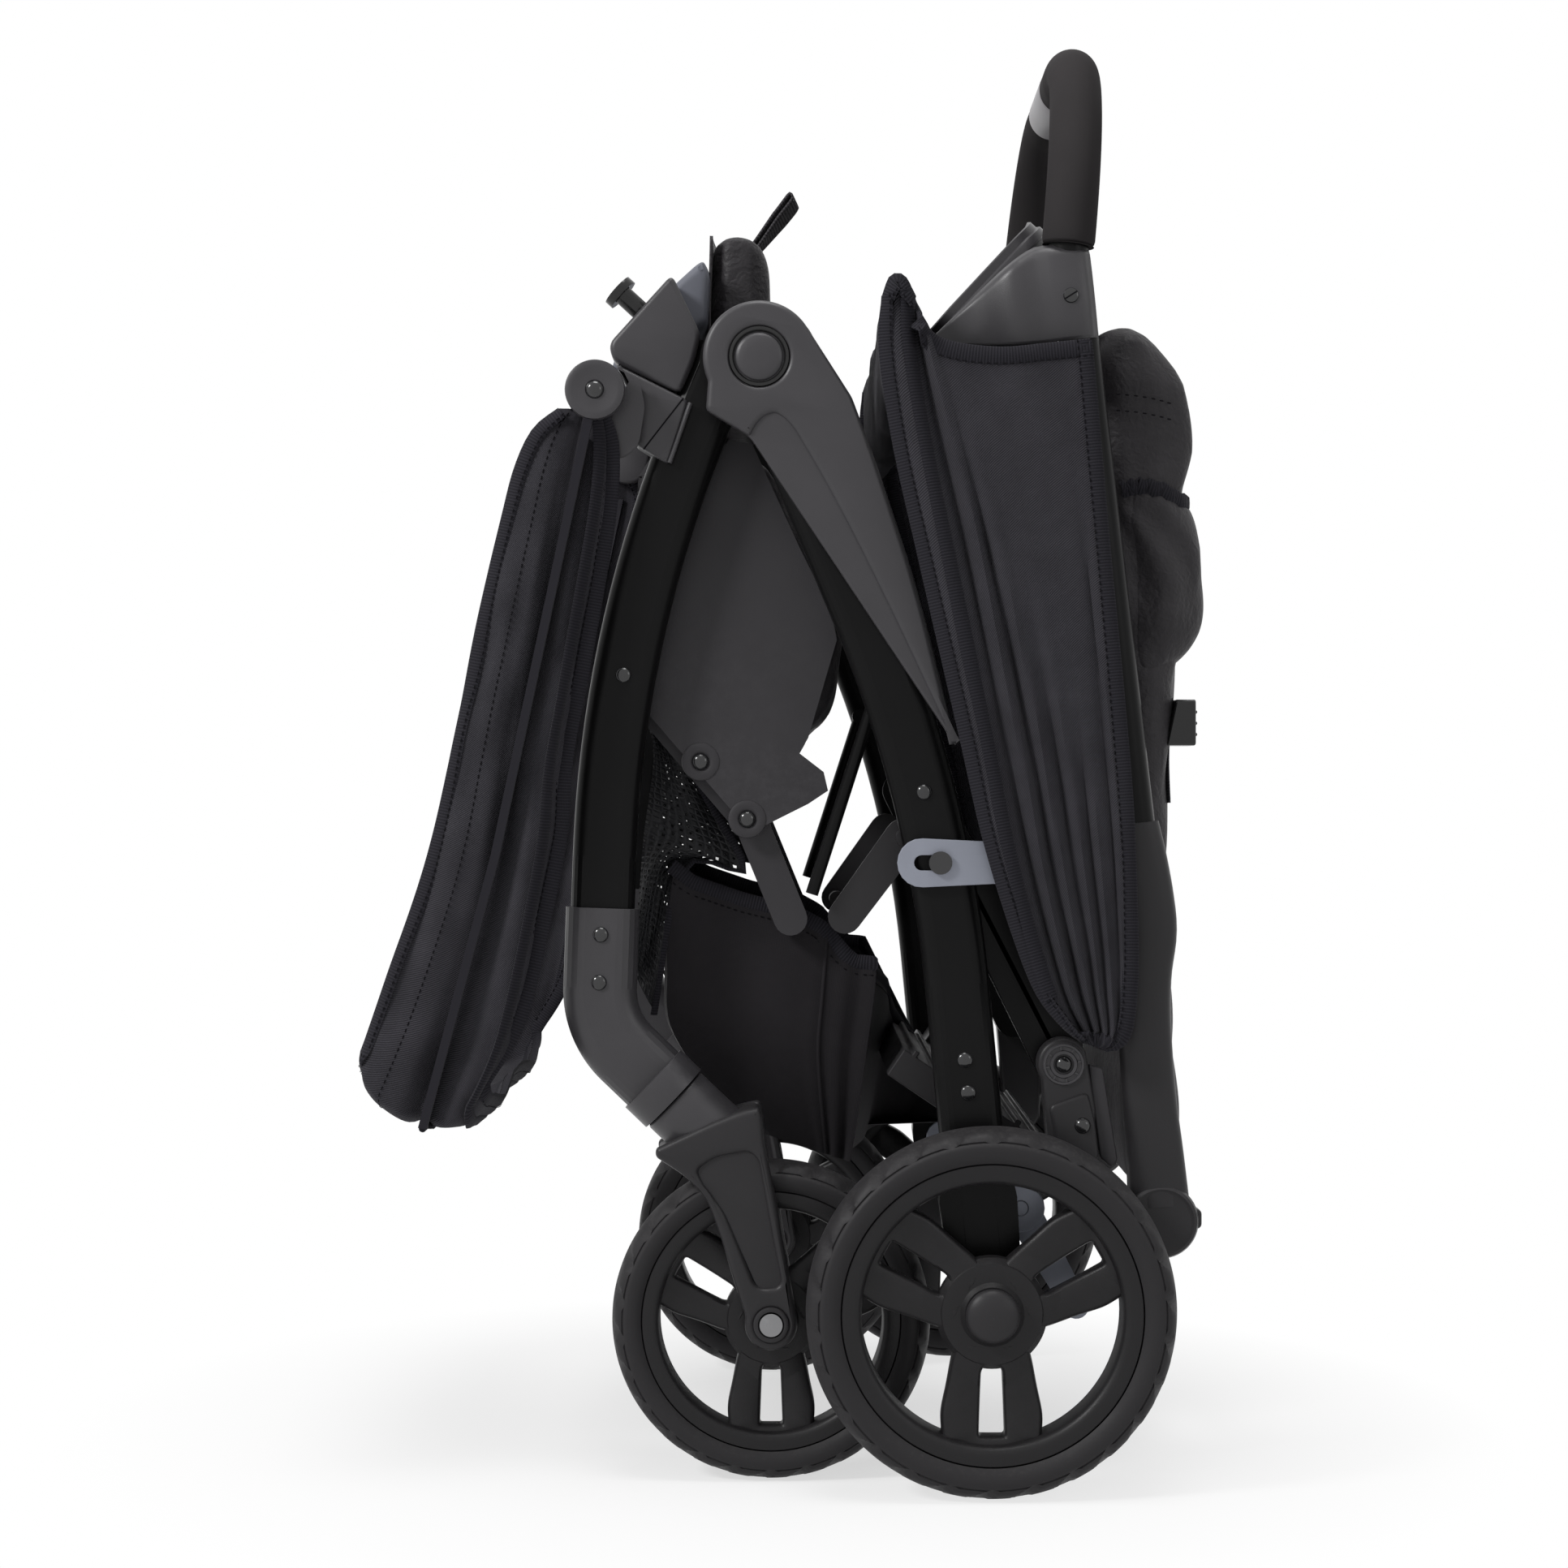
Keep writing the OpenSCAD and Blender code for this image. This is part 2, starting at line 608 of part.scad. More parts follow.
// Tray brackets: a plate on each front leg with a post for the child's tray
bracket_t = 5;
bracket_shares = [
    [-0.1, 1.081], [-0.159, 1.017], [-0.155, 1.002], [-0.122, 0.985], [-0.134, 0.928],
    [-0.102, 0.91], [-0.084, 0.968], [-0.076, 1.024]
];
post_edge = frame_h * (bracket_shares[0] - bracket_shares[1]);
post_foot = frame_h * (bracket_shares[0] + bracket_shares[1]) / 2;
post_tilt = atan2(-post_edge[1], post_edge[0]);
post_r = 7;
post_h = 16;
post_head_r = 12;
post_head_h = 6;
module tray_bracket() {
    color("#38383a") difference() {
        plate(front_in - bracket_t, front_out + bracket_t - layer_gap / 2)
            polygon(scaled(bracket_shares, frame_h));
        along_front_leg(over) oval(leg_w + 2 * gap, leg_t + 2 * fit);
        cross_pin(hinge, knuckle_r + gap, front_in - gap / 5, front_out + bracket_t);
    }
}
module tray_bracket_left() { tray_bracket(); }
module tray_bracket_right() { right() tray_bracket(); }
module tray_posts() {
    color("#444446") both() translate(at3(post_foot, -front_y)) rotate([0, post_tilt, 0]) {
        cylinder(r = post_r, h = post_h);
        translate([0, 0, post_h]) cylinder(r = post_head_r, h = post_head_h);
    }
}
belly_shares = [
    [-0.171, 1.004], [-0.163, 1.033], [-0.13, 1.066], [-0.1, 1.099], [-0.07, 1.127],
    [-0.058, 1.112], [-0.062, 1.04], [-0.077, 1.03], [-0.122, 1.01], [-0.152, 0.989]
];
module belly_tray() {
    reach = front_in - bracket_t;
    color("lightsteelblue") plate(-reach, reach) polygon(scaled(belly_shares, frame_h));
}
pad_shares = [
    [-0.0568, 1.125], [-0.047, 1.135], [-0.02, 1.126], [-0.013, 1.107], [-0.015, 1.055],
    [-0.025, 1], [-0.03, 0.966], [-0.056, 0.966], [-0.0618, 1.035]
];
module strap_pad() {
    color("#2c2c30") plate(-soft_y, soft_y) polygon(scaled(pad_shares, frame_h));
}
strap_w = 25;
strap_shares = [[-0.04, 1.13267], [-0.036, 1.13133], [0.011, 1.193], [0.007, 1.2]];
module fold_strap() {
    color("#2c2c30") plate(-strap_w / 2, strap_w / 2) polygon(scaled(strap_shares, frame_h));
}

// Front canopy: mounts on the tray brackets, a folded hood and its leading bow
mount_r = 21;
mount_root_r = 16.8;
mount_t = 10;
mount_root_share = [-0.118, 0.985];
mount_in = front_out + bracket_t - layer_gap / 2;
mount_out = mount_in + mount_t;
hood_in = mount_out + gap;
hood_out = hood_in + canopy_t;
module canopy_mounts() {
    color("#3a3a3c") both() {
        plate(mount_in, mount_out)
            polygon(link_pts(canopy_hub, frame_h * mount_root_share, mount_r, mount_root_r));
        cross_pin(canopy_hub, link_pin_r, mount_out, hood_out + bow_d + 2 * gap);
        rivet(canopy_hub, hood_out + bow_d + 2 * gap);
    }
}
hood_shares = [
    [-0.213, 0.948], [-0.238, 0.916], [-0.247, 0.883], [-0.268, 0.783], [-0.293, 0.659],
    [-0.318, 0.551], [-0.357, 0.443], [-0.3763, 0.386], [-0.372, 0.361], [-0.343, 0.335],
    [-0.3, 0.324], [-0.26, 0.352], [-0.231, 0.402], [-0.214, 0.485], [-0.194, 0.575],
    [-0.19, 0.65], [-0.169, 0.75], [-0.15, 0.865], [-0.146, 0.915], [-0.15, 0.95]
];
// The cloth across the hood's lower end: how far up it reaches, and the slope of its inner face
trough_top_share = 0.45;
trough_slope = 0.27;
module hood_half() {
    difference() {
        plate(hood_in, hood_out) union() {
            polygon(scaled(hood_shares, frame_h));
            translate(canopy_hub) circle(r = mount_r);
        }
        cross_pin(canopy_hub, link_pin_r + fit, hood_in - over, hood_out + over);
    }
}
module front_canopy() {
    color("#2c2c30") {
        both() hood_half();
        plate(-hood_in - over, hood_in + over) difference() {
            intersection() {
                polygon(scaled(hood_shares, frame_h));
                translate([-frame_h, 0]) square(frame_h * [1, trough_top_share]);
            }
            translate(canopy_t * [trough_slope, 1]) polygon(scaled(hood_shares, frame_h));
        }
    }
}
bow_shares = [[-0.167, 0.971], [-0.255, 0.559], [-0.319, 0.319]];
bow_bar_d = 5.4;
bow_pts = scaled(bow_shares, frame_h);
bow_upper = unit(bow_pts[1] - bow_pts[0]);
bow_lower = unit(bow_pts[2] - bow_pts[1]);
bow_middle = unit(bow_upper + bow_lower);
bow_sides = [for (u = [bow_upper, bow_middle, bow_lower]) turned(u, 90) * bow_d / 2];
module front_canopy_bow() {
    inner = hood_out + gap;
    color("#3a3a3c") {
        both() difference() {
            plate(inner, inner + bow_d) {
                polygon([
                    for (i = [0:2]) bow_pts[i] + bow_sides[i],
                    for (i = [2:-1:0]) bow_pts[i] - bow_sides[i]
                ]);
                translate(canopy_hub) circle(r = mount_r / 2);
            }
            cross_pin(canopy_hub, link_pin_r + fit, inner - over, inner + bow_d + over);
        }
        translate(at3(bow_pts[2], 0)) rotate([90, 0, 0])
            cylinder(d = bow_bar_d, h = 2 * (inner + bow_d / 2), center = true);
    }
}

// Casters
fork_gap = 1;
blade_t = 8;
blade_in = front_y - front_tyre_w / 2 - fork_gap - blade_t;
blade_out = front_y + front_tyre_w / 2 + fork_gap + blade_t;
// A blade's shoulders and its rear edge, down and back from the swivel as shares of the drop
blade_shoulder_shares = [[0.084, 0.199], [0.292, -0.277]];
blade_edge_shares = [[0.682, 0.318], [0.3, 0.144]];
blade_eye_r = 17;
blade_eye_angles = [17, -197];
crown_l = 24;
crown_root = 12;
crown_foot = 38;
crown_w = 44.8;
stem_l = 30;
function from_swivel(s) = swivel + caster_drop * (s[0] * swivel_down + s[1] * swivel_back);
blade_pts = concat(
    [for (s = blade_shoulder_shares) from_swivel(s)],
    arc_pts(front_axle, blade_eye_r, blade_eye_angles[0], blade_eye_angles[1]),
    [for (s = blade_edge_shares) from_swivel(s)]);
module fork() {
    top = swivel + gap * swivel_down;
    crown = swivel + crown_l * swivel_down;
    color("#38383a") difference() {
        union() {
            straight(top, crown, front_y) circle(r = collar_r);
            for (y = [blade_in, blade_out - blade_t]) plate(y, y + blade_t) polygon(blade_pts);
            straight(swivel + crown_root * swivel_down, swivel + crown_foot * swivel_down, front_y)
                square([crown_w, blade_out - blade_in], center = true);
            straight(swivel - stem_l * swivel_down, crown, front_y) circle(r = stem_r);
        }
        cross_pin(front_axle, link_pin_r + fit, blade_in - over, blade_out + over);
        cross_pin(front_axle, front_r + fork_gap, blade_in + blade_t, blade_out - blade_t);
    }
}
module fork_left() { fork(); }
module fork_right() { right() fork(); }
module fork_bolt() {
    color("silver") {
        cross_pin(front_axle, link_pin_r, blade_in, blade_out);
        cross_pin(front_axle, bolt_head_r, blade_out, blade_out + bolt_head_t);
        cross_pin(front_axle, bolt_head_r, blade_in - bolt_head_t, blade_in);
    }
}
module fork_bolts_left() { fork_bolt(); }
module fork_bolts_right() { right() fork_bolt(); }

// Swing links, which carry the handle on the rear legs
swing_r = 15;
swing_end_r = 18;
module swing_link() {
    color("#303032") difference() {
        plate(link_in, link_out) polygon(link_pts(swing_pivot, handle_pivot, swing_r, swing_end_r));
        cross_pin(swing_pivot, link_pin_r + fit, link_in - over, link_out + over);
        cross_pin(handle_pivot, link_pin_r + fit, link_in - over, link_out + over);
    }
}
module swing_link_left() { swing_link(); }
module swing_link_right() { right() swing_link(); }

// Handle brackets: the pivot boss, a sleeve, a web and the round-ended arm below the tube
boss_r = 18;
arm_r = 22;
arm_end_r = 26;
sleeve_share = [0.256, 0.272];
sleeve_r = 15;
web_t = 6;
handle_dir = unit(handle_top - handle_socket);
socket_l = 70;
module handle_bracket() {
    neck = handle_socket + socket_l * handle_dir;
    sleeve = frame_h * sleeve_share;
    color("#363638") difference() {
        union() {
            plate(leg_in, leg_out) {
                polygon(link_pts(handle_pivot, sleeve, boss_r, sleeve_r));
                polygon(link_pts(handle_socket, handle_foot, arm_r, arm_end_r));
            }
            plate(leg_y - web_t / 2, leg_y + web_t / 2) {
                polygon(link_pts(handle_pivot, handle_socket, boss_r, arm_r));
                polygon(link_pts(sleeve, handle_foot, sleeve_r, sleeve_r));
            }
            straight(handle_socket, neck, leg_y) circle(r = handle_d / 2 + layer_gap);
        }
        straight(handle_socket, neck + over * handle_dir, leg_y) circle(r = handle_d / 2 + fit);
    }
    color("silver") cross_pin(handle_pivot, link_pin_r, link_in - gap, leg_in);
}
module handle_bracket_left() { handle_bracket(); }
module handle_bracket_right() { right() handle_bracket(); }

// Handle tube: two arms joined by an arch, drawn in the arch's own plane
arch_tilt = 5;
arch_rise = 10;
// One side of the arch as a rod: up from from_rise, round the bend and along to a distance from the mid-plane
module arch_rod(r, from_rise, to_y) {
    translate([0, -leg_y, from_rise]) cylinder(r = r, h = arch_rise - from_rise + over / 2);
    translate([0, -leg_y + handle_bend_r, arch_rise]) rotate([90, 0, -90]) rotate_extrude(angle = 90)
        translate([handle_bend_r, 0]) circle(r = r * bend_swell);
    translate([0, -leg_y + handle_bend_r - over / 2, arch_rise + handle_bend_r]) rotate([-90, 0, 0])
        cylinder(r = r, h = leg_y - handle_bend_r - to_y + over / 2);
}
module arch_frame() { translate(at3(handle_top, 0)) rotate([0, arch_tilt, 0]) children(); }
module handle_tube() {
    r = handle_d / 2;
    joint_half = 2 * tube_wall;
    color("#2b2b2d") {
        arch_frame() {
            both() difference() {
                arch_rod(r, 0, 0);
                arch_rod(r - tube_wall, -over, joint_half);
            }
            translate([0, 0, arch_rise + handle_bend_r]) rotate([90, 0, 0])
                cylinder(r = r * bend_swell, h = 2 * joint_half, center = true);
            both() translate([0, -leg_y, 0]) sphere(r = r * bend_swell);
        }
        both() straight(handle_socket, handle_top, leg_y) difference() {
            circle(r = r);
            circle(r = r - tube_wall);
        }
    }
}
grip_gap_share = 0.592;
grip_gap_y = grip_gap_share * (leg_y - handle_bend_r);
module grip_left() {
    color("#4a4a4c") arch_frame() difference() {
        arch_rod(grip_d / 2, gap, grip_gap_y);
        arch_rod(handle_d / 2 + 2 * fit, gap - over, grip_gap_y - over);
    }
}
module grip_right() { right() grip_left(); }
module grip_centre() {
    half = grip_gap_y - gap;
    color("lightgray") arch_frame() translate([0, 0, arch_rise + handle_bend_r]) rotate([90, 0, 0])
    difference() {
        cylinder(d = grip_d + gap, h = 2 * half, center = true);
        cylinder(r = handle_d / 2 + 2 * fit, h = 2 * half + over, center = true);
    }
}

// Parent tray with two cup holders, clamped to the handle's arms
tray_tilt = 47;
tray_share = [0.178, 1.078];
tray_wall = 3;
cup_depth = 48;
mount_shares = [[0.19, 1.02], [0.22, 1.09], [0.278, 1.095], [0.285, 1.02]];
module parent_tray() {
    reach = leg_y - grip_d / 2 - gap;
    cup_y = reach - cup_r - 4 * tray_wall;
    color("#38383a") {
        translate(at3(frame_h * tray_share, 0)) rotate([0, -tray_tilt, 0]) difference() {
            translate([-tray_l / 2, -reach, -tray_depth]) cube([tray_l, 2 * reach, tray_depth]);
            both() translate([0, -cup_y, -cup_depth]) cylinder(r = cup_r, h = cup_depth + over);
            translate([-cup_r, -cup_y + cup_r + 2 * tray_wall, -cup_depth / 2])
                cube([2 * cup_r, 2 * (cup_y - cup_r - 2 * tray_wall), cup_depth]);
        }
        both() difference() {
            plate(reach - over, leg_y + handle_d / 2 + layer_gap) polygon(scaled(mount_shares, frame_h));
            straight(handle_socket, handle_top + grip_d * handle_dir, leg_y) circle(r = handle_d / 2 + fit);
        }
    }
}

// Rear canopy: two sides outside the frame and the rolled crown between them
rear_canopy_shares = [
    [0.086, 1.054], [0.083, 1.005], [0.096, 0.922], [0.12, 0.815], [0.154, 0.667], [0.179, 0.56],
    [0.215, 0.453], [0.236, 0.42], [0.286, 0.389], [0.306, 0.403], [0.31, 0.494], [0.306, 0.617],
    [0.286, 0.815], [0.273, 1.014], [0.187, 1.005], [0.129, 1.02], [0.112, 1.058], [0.096, 1.07]
];
crown_shares = [
    [0.086, 1.054], [0.087, 0.95], [0.118, 0.96], [0.118, 1.02], [0.112, 1.058], [0.096, 1.07]
];
canopy_tongue_share = [0.265, 0.44];
tongue_r = 19.8;
module rear_canopy() {
    color("#2c2c30") {
        both() plate(rear_canopy_in, rear_canopy_out) {
            polygon(scaled(rear_canopy_shares, frame_h));
            polygon(link_pts(handle_pivot, frame_h * canopy_tongue_share, tongue_r, boss_r));
        }
        plate(-rear_canopy_in, rear_canopy_in) polygon(scaled(crown_shares, frame_h));
        both() cross_pin(handle_pivot, boss_r, leg_out, rear_canopy_in + over);
    }
}

// Seat back and its storage pouch behind the handle's arms
pouch_shares = [
    [0.32, 1.03], [0.35, 1], [0.37, 0.93], [0.3763, 0.81], [0.358, 0.71], [0.343, 0.64],
    [0.348, 0.44], [0.36, 0.26], [0.318, 0.24], [0.316, 0.5], [0.297, 0.7], [0.274, 1.02]
];
pouch_seat = 0.3;
tray_along = [cos(tray_tilt), sin(tray_tilt)];
tray_down = [sin(tray_tilt), -cos(tray_tilt)];
tray_heel = frame_h * tray_share + tray_l / 2 * tray_along + (tray_depth + pouch_seat) * tray_down;
module rear_pouch() {
    reach = link_in - gap;
    color("#2c2c30") plate(-reach, reach)
        polygon(concat(scaled(pouch_shares, frame_h), [tray_heel - strap_w * tray_along, tray_heel]));
}

buckle_shares = [[0.3473, 0.658], [0.3563, 0.7], [0.375, 0.7], [0.375, 0.658]];
buckle_w = 40;
buckle_inset = 19;
module pouch_buckle() {
    outer = link_in - gap - buckle_inset;
    color("#3a3a3c") plate(outer - buckle_w, outer) polygon(scaled(buckle_shares, frame_h));
}

// Seat frame: side panels on bars that pivot on the front legs, with the sling between them
panel_shares = [
    [-0.05, 0.936], [-0.08, 0.89], [-0.11, 0.788], [-0.125, 0.703], [-0.122, 0.685],
    [-0.038, 0.588], [-0.024, 0.582], [0.022, 0.605], [0.04, 0.617], [0.036, 0.634],
    [0.014, 0.651], [0.022, 0.665], [0.048, 0.754], [0.043, 0.779], [0.014, 0.838], [-0.029, 0.932]
];
seat_bar_shares = [[-0.03, 0.588], [0.006, 0.5]];
seat_bar_r = 12;
sling_shares = [
    [-0.045, 0.925], [-0.02, 0.935], [0.05, 0.81], [0.06, 0.745], [0.035, 0.66], [0, 0.64],
    [-0.05, 0.69]
];
module seat_frame() {
    knee = frame_h * seat_bar_shares[0];
    color("#4a4a4c") both() {
        plate(panel_in, panel_out) polygon(scaled(panel_shares, frame_h));
        difference() {
            plate(seat_bar_in, panel_in) {
                polygon(link_pts(seat_pivot, knee, seat_bar_r, seat_bar_r));
                polygon(link_pts(knee, frame_h * seat_bar_shares[1], seat_bar_r, seat_bar_r));
            }
            cross_pin(seat_pivot, link_pin_r + fit, seat_bar_in - over, panel_out + over);
        }
    }
}
module seat_sling() {
    color("#2c2c30") plate(-panel_in, panel_in) polygon(scaled(sling_shares, frame_h));
}

rear_axle();
rear_leg_left();
rear_leg_right();
hinge_cover_left();
hinge_cover_right();
hinge_caps();
rear_pins();
axle_brackets();
brake_drums();
brake_plates();
standing_platform();
basket_rods();
basket_brackets();
basket();
front_leg_left();
front_leg_right();
elbow_left();
elbow_right();
front_cross_tube();
tray_bracket_left();
tray_bracket_right();
tray_posts();
belly_tray();
strap_pad();
fold_strap();
canopy_mounts();
front_pins();
basket_mesh();
fork_left();
fork_right();
fork_bolts_left();
fork_bolts_right();
front_tyre_left();
front_tyre_right();
front_rim_left();
front_rim_right();
rear_tyre_left();
rear_tyre_right();
rear_rim_left();
rear_rim_right();
rear_hub_caps_left();
rear_hub_caps_right();
swing_link_left();
swing_link_right();
handle_bracket_left();
handle_bracket_right();
handle_tube();
grip_left();
grip_right();
grip_centre();
parent_tray();
rear_canopy();
rear_pouch();
pouch_buckle();
front_canopy();
front_canopy_bow();
seat_frame();
seat_sling();
brake_pedal();
storage_link();
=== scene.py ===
"""Looks of a folded tandem stroller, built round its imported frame."""

import json
import math

import bmesh
import bpy
import numpy as np
from mathutils import Matrix, Vector
from mathutils.bvhtree import BVHTree
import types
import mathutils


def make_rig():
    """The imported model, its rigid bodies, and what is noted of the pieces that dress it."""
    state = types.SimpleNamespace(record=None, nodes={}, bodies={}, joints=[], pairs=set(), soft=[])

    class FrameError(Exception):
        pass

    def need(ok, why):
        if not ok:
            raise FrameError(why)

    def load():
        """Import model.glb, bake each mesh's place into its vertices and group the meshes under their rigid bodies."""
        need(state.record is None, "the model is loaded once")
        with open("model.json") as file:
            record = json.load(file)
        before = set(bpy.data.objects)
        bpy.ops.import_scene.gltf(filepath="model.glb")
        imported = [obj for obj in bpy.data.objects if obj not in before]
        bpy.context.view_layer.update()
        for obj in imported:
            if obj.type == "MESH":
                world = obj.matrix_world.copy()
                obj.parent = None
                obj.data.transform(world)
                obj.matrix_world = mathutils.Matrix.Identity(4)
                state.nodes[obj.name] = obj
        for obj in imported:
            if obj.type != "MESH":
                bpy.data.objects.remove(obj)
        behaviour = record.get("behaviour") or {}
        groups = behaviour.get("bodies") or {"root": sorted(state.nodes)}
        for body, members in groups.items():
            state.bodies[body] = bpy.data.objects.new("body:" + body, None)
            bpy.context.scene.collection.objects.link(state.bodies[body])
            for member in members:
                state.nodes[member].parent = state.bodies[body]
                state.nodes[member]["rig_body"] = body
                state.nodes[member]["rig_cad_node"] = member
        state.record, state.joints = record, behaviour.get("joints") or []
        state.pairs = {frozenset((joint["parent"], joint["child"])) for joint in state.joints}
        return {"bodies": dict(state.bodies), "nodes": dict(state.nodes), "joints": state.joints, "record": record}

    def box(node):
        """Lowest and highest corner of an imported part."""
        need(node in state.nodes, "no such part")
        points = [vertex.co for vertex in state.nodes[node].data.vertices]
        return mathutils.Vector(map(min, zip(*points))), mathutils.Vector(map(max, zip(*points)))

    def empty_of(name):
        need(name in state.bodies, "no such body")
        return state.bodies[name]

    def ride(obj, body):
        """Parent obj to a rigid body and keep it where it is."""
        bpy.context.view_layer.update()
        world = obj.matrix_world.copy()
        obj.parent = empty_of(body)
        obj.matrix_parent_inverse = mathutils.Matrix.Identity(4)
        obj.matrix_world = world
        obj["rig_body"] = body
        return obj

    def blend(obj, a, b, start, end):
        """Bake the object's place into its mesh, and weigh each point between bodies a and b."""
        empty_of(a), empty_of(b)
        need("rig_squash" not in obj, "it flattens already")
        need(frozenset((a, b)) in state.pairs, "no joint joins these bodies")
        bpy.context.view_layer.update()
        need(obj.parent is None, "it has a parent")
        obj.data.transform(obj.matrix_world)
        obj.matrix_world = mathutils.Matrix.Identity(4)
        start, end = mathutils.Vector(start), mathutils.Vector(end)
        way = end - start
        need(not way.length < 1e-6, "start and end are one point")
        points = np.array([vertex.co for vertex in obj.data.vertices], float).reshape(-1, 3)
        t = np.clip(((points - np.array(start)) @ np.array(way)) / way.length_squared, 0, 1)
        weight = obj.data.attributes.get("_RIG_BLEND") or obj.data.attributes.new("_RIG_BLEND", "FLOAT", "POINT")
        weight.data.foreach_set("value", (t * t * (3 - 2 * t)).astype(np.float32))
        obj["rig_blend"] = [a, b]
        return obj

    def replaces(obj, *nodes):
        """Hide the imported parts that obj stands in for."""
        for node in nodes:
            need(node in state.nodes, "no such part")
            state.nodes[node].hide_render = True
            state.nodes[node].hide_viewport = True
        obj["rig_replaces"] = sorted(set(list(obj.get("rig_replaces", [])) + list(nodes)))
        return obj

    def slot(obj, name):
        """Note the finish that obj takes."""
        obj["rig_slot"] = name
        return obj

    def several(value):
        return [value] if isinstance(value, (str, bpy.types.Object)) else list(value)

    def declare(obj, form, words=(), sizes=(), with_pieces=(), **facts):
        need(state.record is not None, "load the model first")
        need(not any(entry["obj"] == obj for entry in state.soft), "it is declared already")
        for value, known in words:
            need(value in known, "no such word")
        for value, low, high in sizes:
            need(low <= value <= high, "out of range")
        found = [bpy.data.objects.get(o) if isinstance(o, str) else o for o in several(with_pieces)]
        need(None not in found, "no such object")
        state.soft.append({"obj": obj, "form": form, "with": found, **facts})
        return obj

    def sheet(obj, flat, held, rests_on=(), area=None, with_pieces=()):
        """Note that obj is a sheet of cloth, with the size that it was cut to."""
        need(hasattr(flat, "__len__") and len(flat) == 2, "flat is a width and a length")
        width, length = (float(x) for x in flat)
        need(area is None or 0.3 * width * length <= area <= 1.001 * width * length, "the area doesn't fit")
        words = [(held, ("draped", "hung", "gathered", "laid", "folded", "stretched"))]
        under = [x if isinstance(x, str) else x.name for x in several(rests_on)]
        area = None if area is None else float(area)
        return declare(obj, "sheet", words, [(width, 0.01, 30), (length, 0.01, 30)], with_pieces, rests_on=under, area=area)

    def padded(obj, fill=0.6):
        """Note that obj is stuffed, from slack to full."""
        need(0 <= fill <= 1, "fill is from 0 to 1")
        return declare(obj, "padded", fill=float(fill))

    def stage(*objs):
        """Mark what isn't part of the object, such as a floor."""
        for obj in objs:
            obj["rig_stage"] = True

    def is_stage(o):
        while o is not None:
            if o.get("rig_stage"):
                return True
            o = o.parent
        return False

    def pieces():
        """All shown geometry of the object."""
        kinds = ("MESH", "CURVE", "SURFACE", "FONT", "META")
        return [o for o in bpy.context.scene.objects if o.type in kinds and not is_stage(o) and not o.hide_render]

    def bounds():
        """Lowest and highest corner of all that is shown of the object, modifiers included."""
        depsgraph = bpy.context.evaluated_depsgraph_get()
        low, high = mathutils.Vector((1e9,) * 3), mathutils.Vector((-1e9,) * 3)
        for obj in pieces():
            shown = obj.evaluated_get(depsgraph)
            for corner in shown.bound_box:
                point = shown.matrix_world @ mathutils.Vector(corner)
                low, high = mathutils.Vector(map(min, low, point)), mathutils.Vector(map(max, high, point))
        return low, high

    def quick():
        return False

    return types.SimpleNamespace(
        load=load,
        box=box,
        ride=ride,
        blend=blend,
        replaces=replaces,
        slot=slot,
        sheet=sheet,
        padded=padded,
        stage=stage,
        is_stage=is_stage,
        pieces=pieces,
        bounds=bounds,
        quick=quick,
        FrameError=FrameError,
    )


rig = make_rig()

bl_info = {
    "name": "Folded tandem stroller",
    "version": (1, 0, 0),
    "blender": (4, 5, 0),
    "location": "View3D > Sidebar > Stroller",
    "description": "Dresses the folded frame with cloth, mouldings, wheels and a studio",
    "category": "Object",
}

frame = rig.load()
CAD_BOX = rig.bounds()

# Outlines written as shares are shares of this height, the main hinge's
FRAME_H = 0.784
HINGE = (-0.0172, 0.784)
SIDES = ((-1.0, "left"), (1.0, "right"))
UV_NAME = "cloth"
# Outlines are filled turned by this much, as the fill drops faces where edges line up
FILL_TURN = 0.21
FULL_TURN = 2 * math.pi
UP, DOWN, ACROSS = (0.0, 0.0, 1.0), (0.0, 0.0, -1.0), (0.0, 1.0, 0.0)
WHITE = (1.0, 1.0, 1.0, 1.0)


# Sizes and colours that a user would change

def length(name, text, value):
    return bpy.props.FloatProperty(
        name=name, description=text, default=value, min=0.0, max=1.0, unit="LENGTH", precision=4
    )


def shade(name, text, value):
    return bpy.props.FloatVectorProperty(
        name=name, description=text, default=value, min=0.0, max=1.0, size=3, subtype="COLOR"
    )


class StrollerSizes(bpy.types.PropertyGroup):
    cloth: length("Cloth", "Thickness of the hood and basket cloth", 0.0012)
    tape: length("Binding", "Width of the binding tape on a cloth edge", 0.0115)
    tape_rise: length("Binding rise", "Thickness of the binding tape over both faces", 0.0034)
    stitch: length("Stitch", "Length of one stitch", 0.0032)
    stitch_pitch: length("Stitch pitch", "Distance between stitches", 0.0048)
    twill: length("Twill pitch", "Distance between the twill's ridges", 0.0017)
    mesh_cell: length("Mesh cell", "Width of a hole in the mesh cloth", 0.0042)
    edge: length("Edge round", "Rounding of a moulding's edges", 0.0022)
    voxel: length("Puff voxel", "Grid of the remesh before a padded piece is blown up", 0.006)
    puff_cap: length("Puff cap", "How far a padded piece may swell", 0.006)


